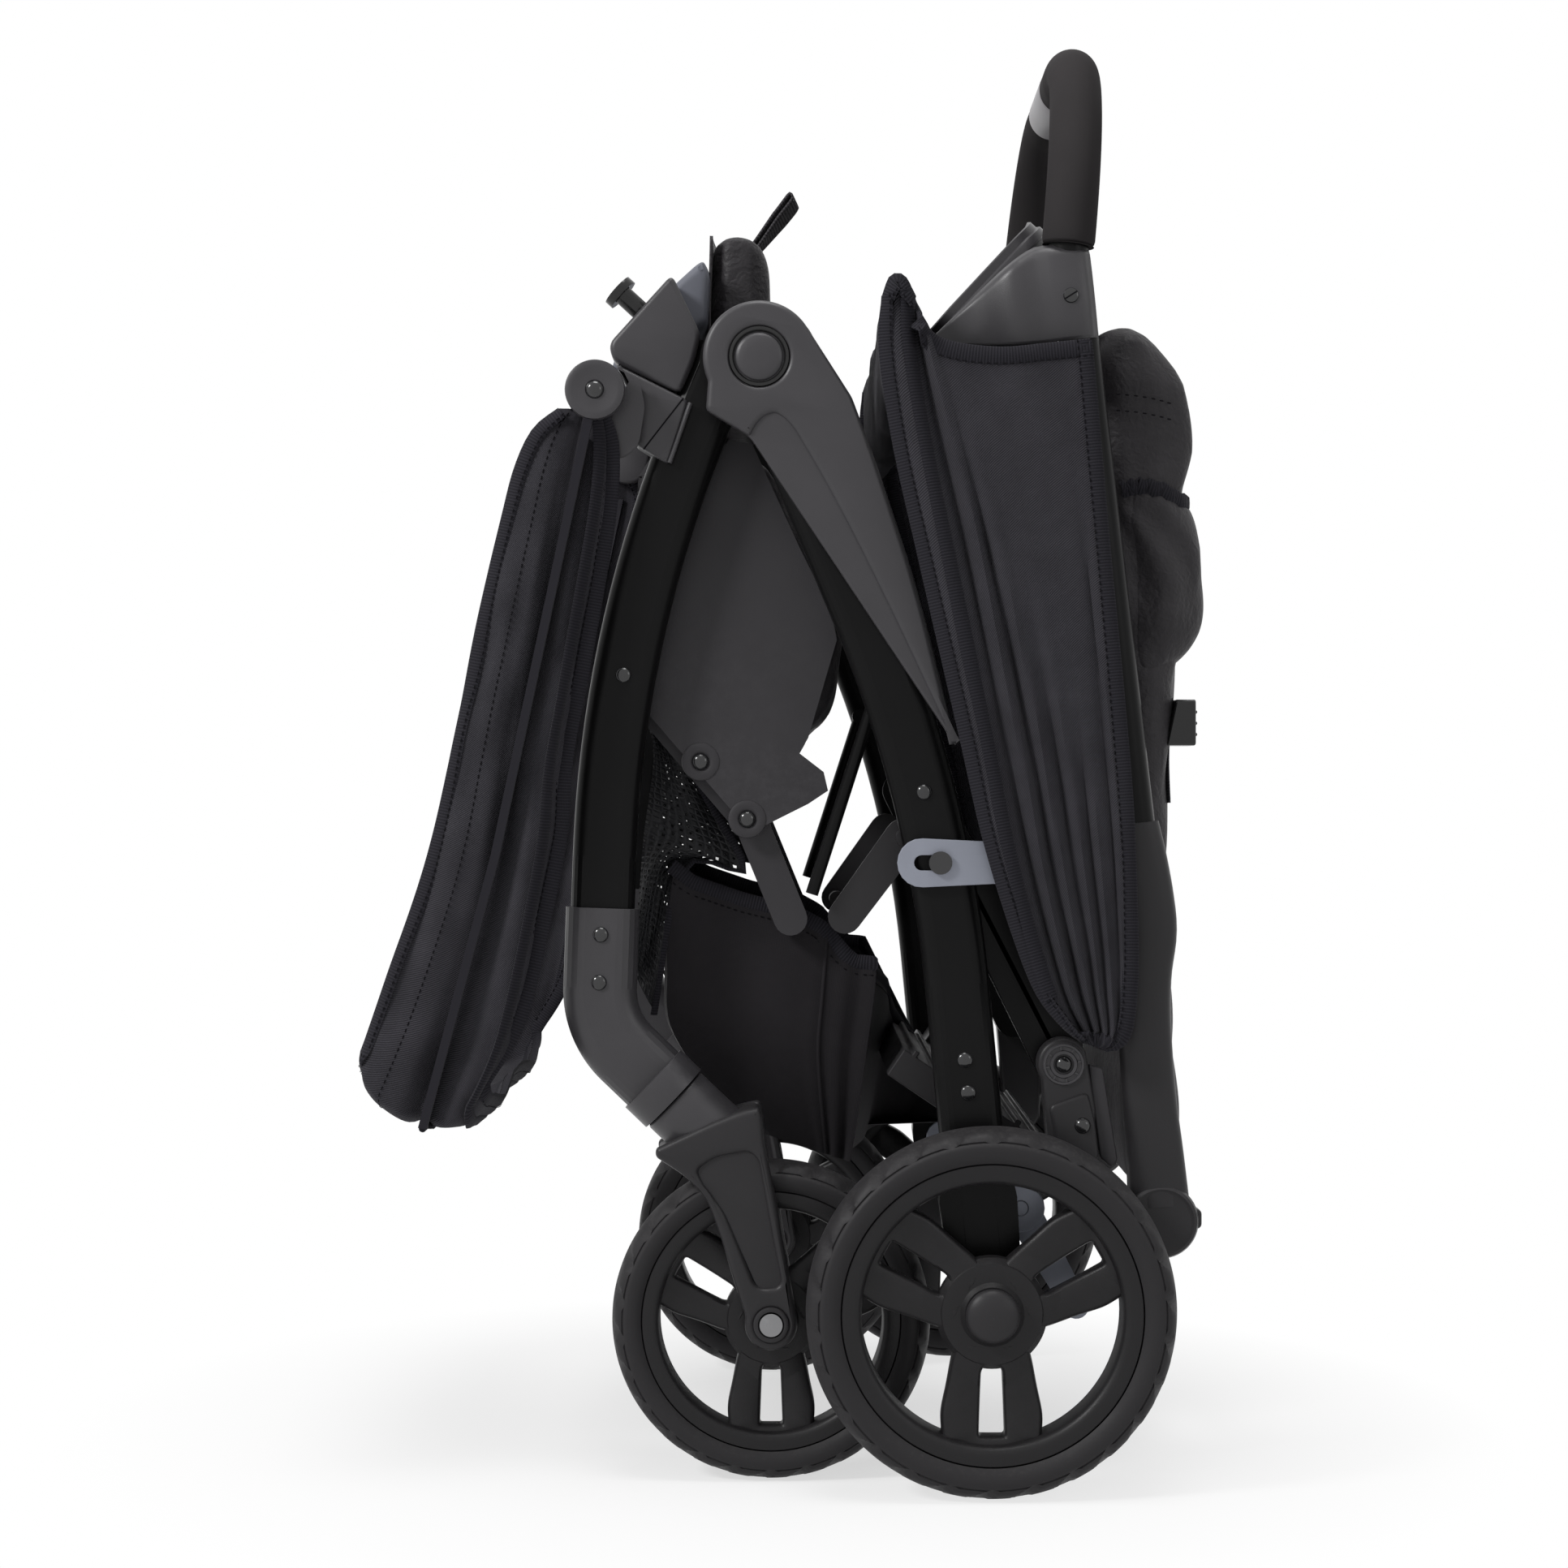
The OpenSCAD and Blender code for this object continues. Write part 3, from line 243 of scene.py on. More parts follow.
class StrollerColours(bpy.types.PropertyGroup):
    tube: shade("Tube", "Powder coat on the tubes", (0.0055, 0.0054, 0.0056))
    moulding: shade("Moulding", "Moulded plastic of the upper frame", (0.043, 0.0412, 0.0448))
    dark_moulding: shade("Dark moulding", "Moulded plastic of the handle's feet", (0.024, 0.0229, 0.0246))
    panel: shade("Seat panel", "Moulded side panels of the seat", (0.036, 0.0343, 0.0374))
    rim: shade("Rim", "Plastic of the wheel rims", (0.0118, 0.0112, 0.0121))
    tyre: shade("Tyre", "Rubber of the tyres", (0.02, 0.0189, 0.0204))
    steel: shade("Steel", "Axle and fork bolts", (0.22, 0.22, 0.225))
    link: shade("Storage link", "Plated steel of the storage link", (0.27, 0.285, 0.335))
    rivet: shade("Rivets", "Black rivets and screws", (0.012, 0.012, 0.013))
    foam: shade("Foam", "Foam of the grips", (0.034, 0.0315, 0.0325))
    pale: shade("Pale plastic", "Middle of the handle", (0.34, 0.33, 0.345))
    tray: shade("Belly tray", "Blue-grey plastic of the child's tray", (0.14, 0.146, 0.172))
    twill: shade("Twill", "Cloth of the hoods", (0.0375, 0.036, 0.0422))
    tape: shade("Binding", "Tape on the cloth edges", (0.022, 0.021, 0.026))
    strap: shade("Strap", "Webbing of the fold pull", (0.055, 0.052, 0.057))
    nylon: shade("Nylon", "Cloth of the pouch and the pad", (0.021, 0.019, 0.0215))
    basket: shade("Basket", "Cloth of the basket", (0.0155, 0.014, 0.016))
    mesh: shade("Mesh", "Yarn of the mesh gusset", (0.012, 0.012, 0.0135))
    thread: shade("Thread", "Sewing thread", (0.009, 0.0085, 0.01))
    floor: shade("Floor", "Pale studio floor", (0.93, 0.93, 0.93))


def sizes():
    return bpy.context.scene.stroller_sizes


def colours():
    return bpy.context.scene.stroller_colours


# Shader node helpers

def feed(tree, socket, value):
    """Links a socket to another one, or sets its value."""
    if isinstance(value, bpy.types.NodeSocket):
        tree.links.new(value, socket)
    else:
        socket.default_value = value


def node(tree, kind, ins=(), **settings):
    made = tree.nodes.new(kind)
    for key, value in settings.items():
        setattr(made, key, value)
    for key, value in dict(ins).items():
        feed(tree, made.inputs[key], value)
    return made


def calc(tree, operation, *values):
    return node(tree, "ShaderNodeMath", enumerate(values), operation=operation).outputs[0]


def blend_colour(tree, mask, first, second):
    return node(tree, "ShaderNodeMix", {0: mask, 6: first, 7: second}, data_type="RGBA").outputs[2]


def span(tree, value, low, high, to_low, to_high):
    return node(tree, "ShaderNodeMapRange", enumerate((value, low, high, to_low, to_high))).outputs[0]


def new_group(name, inputs, outputs):
    """A shared effect: its tree, its input sockets, and a call that fills its output sockets."""
    tree = bpy.data.node_groups.new(name, "ShaderNodeTree")
    for label, value in inputs:
        socket = tree.interface.new_socket(label, in_out="INPUT", socket_type="NodeSocketFloat")
        socket.default_value = value
    for label in outputs:
        tree.interface.new_socket(label, in_out="OUTPUT", socket_type="NodeSocketFloat")
    inner, outer = tree.nodes.new("NodeGroupInput"), tree.nodes.new("NodeGroupOutput")

    def put_out(*values):
        for socket, value in zip(outer.inputs, values):
            tree.links.new(value, socket)

    return tree, inner.outputs, put_out


def place_group(tree, name, **ins):
    made = tree.nodes.new("ShaderNodeGroup")
    made.node_tree = bpy.data.node_groups[name]
    for key, value in ins.items():
        made.inputs[key].default_value = value
    return made.outputs


def noise(tree, scale, **ins):
    where = node(tree, "ShaderNodeTexCoord").outputs["Object"]
    return node(tree, "ShaderNodeTexNoise", {"Vector": where, "Scale": scale, **ins}).outputs


def object_noise(tree, scale, detail=2.0, rough=0.5):
    return noise(tree, scale, Detail=detail, Roughness=rough)["Fac"]


def cloth_uv(tree):
    made = node(tree, "ShaderNodeUVMap", uv_map=UV_NAME)
    parts = node(tree, "ShaderNodeSeparateXYZ", {0: made.outputs[0]})
    return parts.outputs[0], parts.outputs[1]


def ridge(tree, value, pitch):
    turned_by = calc(tree, "MULTIPLY", calc(tree, "DIVIDE", value, pitch), FULL_TURN)
    return calc(tree, "MULTIPLY_ADD", calc(tree, "SINE", turned_by), 0.5, 0.5)


def make_groups():
    """Effects that several finishes share."""
    settings = [("Scale", 1600.0), ("Blotch", 22.0)]
    tree, ins, put_out = new_group("moulded grain", settings, ["Grain", "Blotch"])
    put_out(noise(tree, ins[0], Detail=3.0)["Fac"], noise(tree, ins[1], Detail=4.0)["Fac"])

    tree, ins, put_out = new_group("edge wear", [("Breadth", 0.5)], ["Wear"])
    mask = span(tree, node(tree, "ShaderNodeNewGeometry").outputs["Pointiness"], 0.52, 0.6, 0.0, 1.0)
    chips = span(tree, object_noise(tree, 90.0, 5.0, 0.7), 0.42, 0.62, 0.0, 1.0)
    put_out(calc(tree, "MULTIPLY", calc(tree, "MULTIPLY", mask, chips), ins[0]))

    # Twill weave: its Shade is lighter on the ridges and darker in the grooves, on the same lines as its Height. That
    # is painted shade of the weave. The slub adds tone that differs at random.
    tree, ins, put_out = new_group("twill weave", [("Pitch", 0.0017)], ["Height", "Shade"])
    across, along = cloth_uv(tree)
    wobble = calc(tree, "MULTIPLY", object_noise(tree, 160.0), 0.0006)
    lines = ridge(tree, calc(tree, "ADD", calc(tree, "ADD", across, along), wobble), ins[0])
    yarns = ridge(tree, calc(tree, "SUBTRACT", across, along), calc(tree, "MULTIPLY", ins[0], 0.55))
    slub = calc(tree, "MULTIPLY", object_noise(tree, 34.0, 4.0, 0.6), 0.6)
    put_out(calc(tree, "MULTIPLY_ADD", yarns, 0.35, lines), calc(tree, "MULTIPLY_ADD", lines, 0.55, slub))

    tree, ins, put_out = new_group("plain weave", [("Pitch", 0.0009)], ["Height", "Shade"])
    warp, weft = (ridge(tree, yarn, ins[0]) for yarn in cloth_uv(tree))
    put_out(calc(tree, "MULTIPLY", warp, weft), object_noise(tree, 26.0, 5.0, 0.65))

    tree, ins, put_out = new_group("tape ribs", [("Pitch", 0.0021)], ["Height", "Shade"])
    across, along = cloth_uv(tree)
    ribs = ridge(tree, along, ins[0])
    cords = ridge(tree, across, calc(tree, "MULTIPLY", ins[0], 0.4))
    low_cords = calc(tree, "MULTIPLY", cords, 0.2)
    put_out(calc(tree, "MULTIPLY_ADD", cords, 0.25, ribs), calc(tree, "MULTIPLY_ADD", ribs, 0.6, low_cords))

    tree, ins, put_out = new_group("crinkle", [("Scale", 55.0)], ["Height", "Shade"])
    bent = noise(tree, ins[0], Detail=6.0)
    creases = node(tree, "ShaderNodeTexVoronoi", {"Vector": bent["Color"], "Scale": 7.0}, feature="F1")
    put_out(creases.outputs["Distance"], bent["Fac"])

    tree, ins, put_out = new_group("dust", [("Amount", 0.35)], ["Dust"])
    normal = node(tree, "ShaderNodeNewGeometry").outputs["Normal"]
    facing = span(tree, node(tree, "ShaderNodeSeparateXYZ", {0: normal}).outputs[2], 0.1, 1.0, 0.0, 1.0)
    specks = span(tree, object_noise(tree, 240.0, 4.0, 0.75), 0.5, 0.75, 0.1, 1.0)
    put_out(calc(tree, "MULTIPLY", calc(tree, "MULTIPLY", facing, specks), ins[0]))

    tree, ins, put_out = new_group("mesh holes", [("Cell", 0.0042)], ["Yarn", "Height"])
    x, y = (calc(tree, "DIVIDE", way, ins[0]) for way in cloth_uv(tree))
    point = node(tree, "ShaderNodeCombineXYZ", {0: x, 1: calc(tree, "MULTIPLY", y, 0.82)})
    cells = node(
        tree, "ShaderNodeTexVoronoi", {"Vector": point.outputs[0], "Scale": 1.0, "Randomness": 0.3},
        feature="DISTANCE_TO_EDGE",
    )
    edge = cells.outputs["Distance"]
    put_out(span(tree, edge, 0.31, 0.37, 1.0, 0.0), span(tree, edge, 0.0, 0.25, 1.0, 0.0))


# Finishes

DUST = (0.16, 0.155, 0.15, 1.0)
LINT = (0.13, 0.125, 0.13, 1.0)
LINT_AMOUNT = 0.08


def rgba(colour, gain):
    return (*(min(1.0, c * gain) for c in colour), 1.0)


def shader(name):
    made = bpy.data.materials.new(name)
    made.use_nodes = True
    return made.node_tree, made.node_tree.nodes["Principled BSDF"]


def cover(tree, surface, **values):
    """Fills the surface's sockets, named with underscores for spaces."""
    for key, value in values.items():
        feed(tree, surface.inputs[key.replace("_", " ")], value)


def bumped(tree, height, depth, strength):
    ins = {"Height": height, "Distance": depth, "Strength": strength}
    return node(tree, "ShaderNodeBump", ins).outputs[0]


def hard_finish(
    name, colour, rough, grain, depth, metallic=0.0, wear=0.4, dust=0.08, spec=0.22, contrast=0.16
):
    """A moulded, coated or plated surface with grain, blotches, worn edges and a little dust."""
    tree, surface = shader(name)
    grained = place_group(tree, "moulded grain", Scale=grain)
    worn = place_group(tree, "edge wear", Breadth=wear)
    dusty = place_group(tree, "dust", Amount=dust)
    base = blend_colour(tree, grained["Blotch"], rgba(colour, 1 - contrast), rgba(colour, 1 + contrast))
    base = blend_colour(tree, worn[0], base, rgba(colour, 2.2))
    base = blend_colour(tree, dusty[0], base, DUST)
    rubbed = span(tree, grained["Blotch"], 0.3, 0.7, rough * 0.86, min(1.0, rough * 1.14))
    normal = bumped(tree, grained["Grain"], depth, 0.6)
    cover(tree, surface, Base_Color=base, Roughness=rubbed, Normal=normal)
    cover(tree, surface, Metallic=metallic, Specular_IOR_Level=spec)


def cloth_finish(name, colour, weave, setting, depth, contrast, rough=0.82, spec=0.1):
    """A woven surface whose yarns follow the piece's own lengths."""
    tree, surface = shader(name)
    woven = place_group(tree, weave, **setting)
    dusty = place_group(tree, "dust", Amount=LINT_AMOUNT)
    # Colour from the weave's Shade. On the hood twill it is partly painted shade of the ridges and grooves.
    base = blend_colour(tree, woven["Shade"], rgba(colour, 1 - contrast), rgba(colour, 1 + contrast))
    base = blend_colour(tree, dusty[0], base, LINT)
    normal = bumped(tree, woven["Height"], depth, 0.8)
    rubbed = span(tree, woven["Shade"], 0.0, 1.0, min(1.0, rough * 1.08), rough * 0.9)
    cover(tree, surface, Base_Color=base, Roughness=rubbed, Normal=normal, Specular_IOR_Level=spec)
    cover(tree, surface, Sheen_Weight=0.04, Sheen_Roughness=0.4)


def mesh_finish(colour, cell):
    """Open mesh: yarn round six-sided holes."""
    tree, surface = shader("mesh cloth")
    holes = place_group(tree, "mesh holes", Cell=cell)
    base = blend_colour(tree, holes["Height"], rgba(colour, 0.7), rgba(colour, 1.6))
    normal = bumped(tree, holes["Height"], 0.0006, 0.8)
    cover(tree, surface, Base_Color=base, Alpha=holes["Yarn"], Normal=normal)
    cover(tree, surface, Roughness=0.5, Specular_IOR_Level=0.2)


def make_finishes():
    c = colours()
    s = sizes()
    hard_finish("tube black", c.tube, 0.32, 2600.0, 0.00003, wear=0.15, dust=0.03, spec=0.1)
    hard_finish("grey moulding", c.moulding, 0.36, 2100.0, 0.00012, wear=0.25, spec=0.35)
    hard_finish("dark moulding", c.dark_moulding, 0.4, 2100.0, 0.00012, wear=0.25)
    hard_finish("panel moulding", c.panel, 0.48, 1900.0, 0.00014, wear=0.2)
    hard_finish("rim plastic", c.rim, 0.42, 1100.0, 0.00024, wear=0.4)
    hard_finish("tyre rubber", c.tyre, 0.6, 700.0, 0.00015, wear=0.2, dust=0.2, contrast=0.22)
    hard_finish("bright steel", c.steel, 0.2, 900.0, 0.00002, metallic=1.0, wear=0.2, dust=0.02)
    hard_finish(
        "plated link", c.link, 0.34, 1200.0, 0.00003, metallic=0.3, wear=0.2, dust=0.05, contrast=0.06
    )
    hard_finish("rivet black", c.rivet, 0.16, 1500.0, 0.00002, wear=0.3, dust=0.02, spec=0.6)
    hard_finish("grip foam", c.foam, 0.8, 1500.0, 0.0001, wear=0.0, dust=0.03, spec=0.03, contrast=0.2)
    hard_finish("pale plastic", c.pale, 0.42, 1500.0, 0.00006, wear=0.1, contrast=0.05)
    hard_finish("tray plastic", c.tray, 0.4, 1500.0, 0.00006, wear=0.1, contrast=0.05)
    hard_finish("thread", c.thread, 0.9, 3000.0, 0.0001, wear=0.0, dust=0.0, spec=0.05)
    hard_finish("gloss buckle", c.tube, 0.2, 1500.0, 0.00003, wear=0.4, spec=0.4)
    # High contrast, so the twill's painted shade of ridges and grooves shows strongly, together with its slub tone.
    cloth_finish("hood twill", c.twill, "twill weave", {"Pitch": s.twill}, 0.0005, contrast=0.6)
    cloth_finish("binding tape", c.tape, "tape ribs", {}, 0.0003, contrast=0.4)
    cloth_finish("pouch nylon", c.nylon, "crinkle", {}, 0.0007, rough=0.55, spec=0.25, contrast=0.25)
    cloth_finish("basket cloth", c.basket, "plain weave", {}, 0.00012, rough=0.7, spec=0.14, contrast=0.22)
    cloth_finish("webbing", c.strap, "tape ribs", {"Pitch": 0.0026}, 0.0005, contrast=0.45)
    mesh_finish(c.mesh, s.mesh_cell)


# Lines and outlines

def scaled(points):
    return [(x * FRAME_H, z * FRAME_H) for x, z in points]


def pairs(points):
    return [tuple(q) for q in points]


def clamp(value, low=0.0, high=1.0):
    return min(high, max(low, value))


def bell(value, at, width):
    return math.exp(-(((value - at) / width) ** 2))


def even(points, count, closed=False):
    """The same line with evenly spaced points."""
    line = np.asarray(points, float)
    if closed:
        line = np.vstack([line, line[:1]])
    step = np.linalg.norm(np.diff(line, axis=0), axis=1)
    along = np.concatenate([[0.0], np.cumsum(step)])
    places = np.linspace(0.0, along[-1], count + 1 if closed else count)
    if closed:
        places = places[:-1]
    return np.stack([np.interp(places, along, line[:, k]) for k in range(line.shape[1])], axis=1)


def curve_through(points, count, closed=False):
    """An even, smooth line through the points."""
    p = np.asarray(points, float)
    total = len(p)
    dense = []
    for i in range(total if closed else total - 1):
        if closed:
            a, b, c, d = (p[(i + k) % total] for k in (-1, 0, 1, 2))
        else:
            a, b, c, d = p[max(i - 1, 0)], p[i], p[i + 1], p[min(i + 2, total - 1)]
        for t in np.linspace(0.0, 1.0, 12, endpoint=False):
            bend = (2 * a - 5 * b + 4 * c - d) * t**2 + (3 * b - a - 3 * c + d) * t**3
            dense.append(0.5 * (2 * b + (c - a) * t + bend))
    if not closed:
        dense.append(p[-1])
    return even(dense, count, closed)


def line_length(points):
    return float(np.linalg.norm(np.diff(points, axis=0), axis=1).sum())


def filleted(points, radius, steps=5):
    """An outline with its corners rounded by up to a radius."""
    p = [Vector(q) for q in points]
    out = []
    for i, corner in enumerate(p):
        back = p[i - 1] - corner
        ahead = p[(i + 1) % len(p)] - corner
        reach = min(radius, back.length * 0.45, ahead.length * 0.45)
        start = corner + back.normalized() * reach
        end = corner + ahead.normalized() * reach
        for k in range(steps + 1):
            t = k / steps
            out.append((1 - t) ** 2 * start + 2 * t * (1 - t) * corner + t**2 * end)
    return pairs(out)


def arc(centre, radius, first, last, count):
    turns = np.radians(np.linspace(first, last, count))
    return [(centre[0] + radius * math.cos(a), centre[1] + radius * math.sin(a)) for a in turns]


def circle(centre, radius, count):
    return arc(centre, radius, 0, 360, count + 1)[:-1]


def oblong(half_x, half_z):
    return [(-half_x, -half_z), (half_x, -half_z), (half_x, half_z), (-half_x, half_z)]


def round_turns(count):
    return np.linspace(0.0, FULL_TURN, count, endpoint=False)


# Mesh helpers

def link_up(name, data):
    made = bpy.data.objects.new(name, data)
    bpy.context.scene.collection.objects.link(made)
    return made


def seen_mesh(made):
    """What an object's modifiers or curves come to, as a mesh of its own."""
    seen = made.evaluated_get(bpy.context.evaluated_depsgraph_get())
    return bpy.data.meshes.new_from_object(seen)


def make_object(name, verts, faces, uvs=None):
    mesh = bpy.data.meshes.new(name)
    mesh.from_pydata([tuple(map(float, v)) for v in verts], [], faces)
    if uvs is not None:
        layer = mesh.uv_layers.new(name=UV_NAME)
        layer.data.foreach_set("uv", np.asarray(uvs, np.float32).ravel())
    mesh.update()
    return link_up(name, mesh)


def grid(name, points, close_rows=False, close_cols=False, caps=False):
    """A quad sheet through rows of points, with lengths along it as its UVs."""
    p = np.asarray(points, float)
    rows, cols = p.shape[:2]
    down = np.linalg.norm(np.roll(p, -1, axis=0) - p, axis=2).mean(axis=1)
    over = np.linalg.norm(np.roll(p, -1, axis=1) - p, axis=2).mean(axis=0)
    v = np.concatenate([[0.0], np.cumsum(down)])
    u = np.concatenate([[0.0], np.cumsum(over)])
    faces, uvs = [], []
    for i in range(rows if close_rows else rows - 1):
        for j in range(cols if close_cols else cols - 1):
            a, b = (i + 1) % rows, (j + 1) % cols
            faces.append((i * cols + j, i * cols + b, a * cols + b, a * cols + j))
            uvs += [(u[j], v[i]), (u[j + 1], v[i]), (u[j + 1], v[i + 1]), (u[j], v[i + 1])]
    if caps:
        for row, order in ((0, range(cols - 1, -1, -1)), (rows - 1, range(cols))):
            ring = list(order)
            faces.append(tuple(row * cols + j for j in ring))
            uvs += [(p[row, j, 0], p[row, j, 2]) for j in ring]
    return make_object(name, p.reshape(-1, 3), faces, uvs)


def tidy_normals(made, weld=False):
    """Turns the faces outward, after joining doubled points if asked."""
    work = bmesh.new()
    work.from_mesh(made.data)
    if weld:
        bmesh.ops.remove_doubles(work, verts=work.verts, dist=1e-6)
    bmesh.ops.recalc_face_normals(work, faces=work.faces)
    work.to_mesh(made.data)
    work.free()
    return made


def closed_form(name, rows):
    """A closed skin round rings of points."""
    return tidy_normals(grid(name, rows, close_cols=True, caps=True))


def dress(made, finish, slot, body, stands_for=(), angle=35.0):
    """Gives a piece its finish, its body and the solids that it stands for."""
    made.data.materials.clear()
    made.data.materials.append(bpy.data.materials[finish])
    made.data.shade_smooth()
    made.data.set_sharp_from_angle(angle=math.radians(angle))
    if body:
        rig.ride(made, body)
    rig.slot(made, slot)
    if stands_for:
        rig.replaces(made, *stands_for)
    return made


def thicken(made, thickness, offset=0.0):
    wall = made.modifiers.new("Thickness", "SOLIDIFY")
    wall.thickness = thickness
    wall.offset = offset
    wall.use_even_offset = False
    return made


def smoothed(made):
    smooth = made.modifiers.new("Smooth", "SUBSURF")
    smooth.levels = 1
    smooth.render_levels = 1
    return made


def plate(name, outline, inner, outer, side, round_edge, holes=()):
    """A flat moulding between two distances from the middle, with rounded edges and holes."""
    shape = bpy.data.curves.new(name, "CURVE")
    shape.dimensions = "2D"
    shape.fill_mode = "BOTH"
    turn = Matrix.Rotation(FILL_TURN, 2)
    for ring, outside in [(outline, True), *((h, False) for h in holes)]:
        pts = [tuple(turn @ Vector(q)) for q in ring]
        turning = sum(a[0] * b[1] - b[0] * a[1] for a, b in zip(pts, pts[1:] + pts[:1]))
        if (turning > 0) != outside:
            pts.reverse()
        spline = shape.splines.new("POLY")
        spline.points.add(len(pts) - 1)
        for place, q in zip(spline.points, pts):
            place.co = (q[0], q[1], 0.0, 1.0)
        spline.use_cyclic_u = True
    thick = outer - inner
    rounded = min(round_edge, thick * 0.48)
    shape.extrude = thick / 2 - rounded
    shape.bevel_depth = rounded
    shape.bevel_resolution = 3
    shape.offset = -rounded
    holder = link_up(name + ".outline", shape)
    mesh = seen_mesh(holder)
    bpy.data.objects.remove(holder)
    mesh.name = name
    middle = side * (inner + outer) / 2
    mesh.transform(Matrix.Rotation(-FILL_TURN, 4, "Z"))
    mesh.transform(Matrix.Translation((0.0, middle, 0.0)) @ Matrix.Rotation(math.pi / 2, 4, "X"))
    return tidy_normals(link_up(name, mesh), weld=True)


def moulded(name, outline, depths, side, rounded, finish, body, stands_for=(), holes=()):
    """A finished plate between two depths."""
    return dress(plate(name, outline, *depths, side, rounded, holes), finish, "moulding", body, stands_for)


def lathe(name, profile, centre, side, count, shape_ring=None):
    """Turns a profile of radius and outward distance about an axis across the stroller."""
    points = np.zeros((count, len(profile), 3))
    for i, a in enumerate(round_turns(count)):
        for j, (radius, out) in enumerate(profile):
            r = radius if shape_ring is None else shape_ring(radius, out, a, j)
            points[i, j] = (centre[0] + r * math.cos(a), side * out, centre[1] + r * math.sin(a))
    return tidy_normals(grid(name, points, close_rows=True), weld=True)


def turned(name, profile, face, centre, side, count, finish, body, stands_for=(), slot="moulding"):
    """A finished turned piece, whose profile's distances start from a face."""
    made = lathe(name, [(r, face + out) for r, out in profile], centre, side, count)
    return dress(made, finish, slot, body, stands_for)


def rivet(name, profile, face, centre, side, body, count=32):
    return turned(name, profile, face, centre, side, count, "rivet black", body, slot="steel")


def slotted(name, outline, hole, middle, half, side, rounded):
    """A plate with one hole, as one ring of quads whose edges are rounded."""
    count = 96
    outer = even(outline, count, True)
    inner = even(hole, count, True)
    gap = inner - outer
    inward = gap / np.linalg.norm(gap, axis=1, keepdims=True) * rounded
    steps = (
        (outer, 0.0, 1.0), (outer, 0.3, 0.4), (outer, 1.0, 0.0),
        (inner, -0.8, 0.0), (inner, -0.24, 0.4), (inner, 0.0, 1.0),
    )
    loops = []
    for turn in (-1, 1):
        for line, move, drop in (steps if turn > 0 else reversed(steps)):
            y = middle + turn * (half - drop * rounded)
            loops.append([(q[0], side * y, q[1]) for q in line + inward * move])
    return tidy_normals(grid(name, loops, close_rows=True, close_cols=True))


def frames_along(path, across):
    """Tangent, across and normal directions along a path."""
    tangent = np.gradient(np.asarray(path, float), axis=0)
    tangent /= np.maximum(np.linalg.norm(tangent, axis=1, keepdims=True), 1e-9)
    a = np.asarray(across, float)
    a = a - tangent * (a * tangent).sum(axis=1, keepdims=True)
    a /= np.maximum(np.linalg.norm(a, axis=1, keepdims=True), 1e-9)
    return tangent, a, np.cross(tangent, a)


def all_along(path, direction):
    return np.tile(direction, (len(path), 1))


def strip(name, path, across, width, thick, start):
    """A flat band with rounded edges along a path, from start to width on its across side."""
    a, n = frames_along(path, across)[1:]
    half, end = thick / 2, start + width
    section = [
        (start, 0.0), (start + half, half), (start + width / 2, half * 1.1), (end - half, half),
        (end, 0.0), (end - half, -half), (start + width / 2, -half * 1.1), (start + half, -half),
    ]
    rows = [[p + a[i] * s + n[i] * h for s, h in section] for i, p in enumerate(np.asarray(path, float))]
    return closed_form(name, rows)


def taped(name, path, across, slot, body, start=-0.0012, width=None, thick=None):
    """Binding tape along an edge."""
    s = sizes()
    made = strip(name, path, across, width or s.tape, thick or s.tape_rise, start)
    return dress(made, "binding tape", slot, body, (), 50)


def stitched(name, path, across, offset, lift, slot, body):
    """Separate raised stitches along a path, on both faces of the cloth."""
    s = sizes()
    p = np.asarray(path, float)
    count = max(4, int(line_length(p) / s.stitch_pitch))
    line = even(np.hstack([p, np.asarray(across, float)]), count)
    tangent, a, n = frames_along(line[:, :3], line[:, 3:])
    thread = 0.00045
    corners = (
        (-1, 0, 0), (-0.6, 1, 0), (0.6, 1, 0), (1, 0, 0),
        (0.6, -1, 0), (-0.6, -1, 0), (-0.5, 0, 1), (0.5, 0, 1),
    )
    sides = ((0, 1, 6), (1, 2, 7, 6), (2, 3, 7), (3, 4, 7), (4, 5, 6, 7), (5, 0, 6), (0, 5, 4, 3, 2, 1))
    verts, faces = [], []
    for i in range(count):
        for face in (1, -1):
            at = line[i, :3] + a[i] * offset + n[i] * lift * face
            base = len(verts)
            for t, w, h in corners:
                along = tangent[i] * t * s.stitch / 2
                verts.append(at + along + a[i] * w * thread + n[i] * h * face * thread)
            faces += [tuple(base + k for k in q) for q in sides]
    return dress(tidy_normals(make_object(name, verts, faces)), "thread", slot, body)


def rod(name, path, radius, count):
    """A round bar along a path."""
    p = np.asarray(path, float)
    tangent = np.gradient(p, axis=0)
    tangent /= np.linalg.norm(tangent, axis=1, keepdims=True)
    guide = (0.13, 0.0, 0.99) if abs(tangent[0][1]) > 0.8 else ACROSS
    rows = []
    for at, a, n in zip(p, *frames_along(p, all_along(p, guide))[1:]):
        rows.append([at + radius * (a * math.cos(t) + n * math.sin(t)) for t in round_turns(count)])
    return closed_form(name, rows)


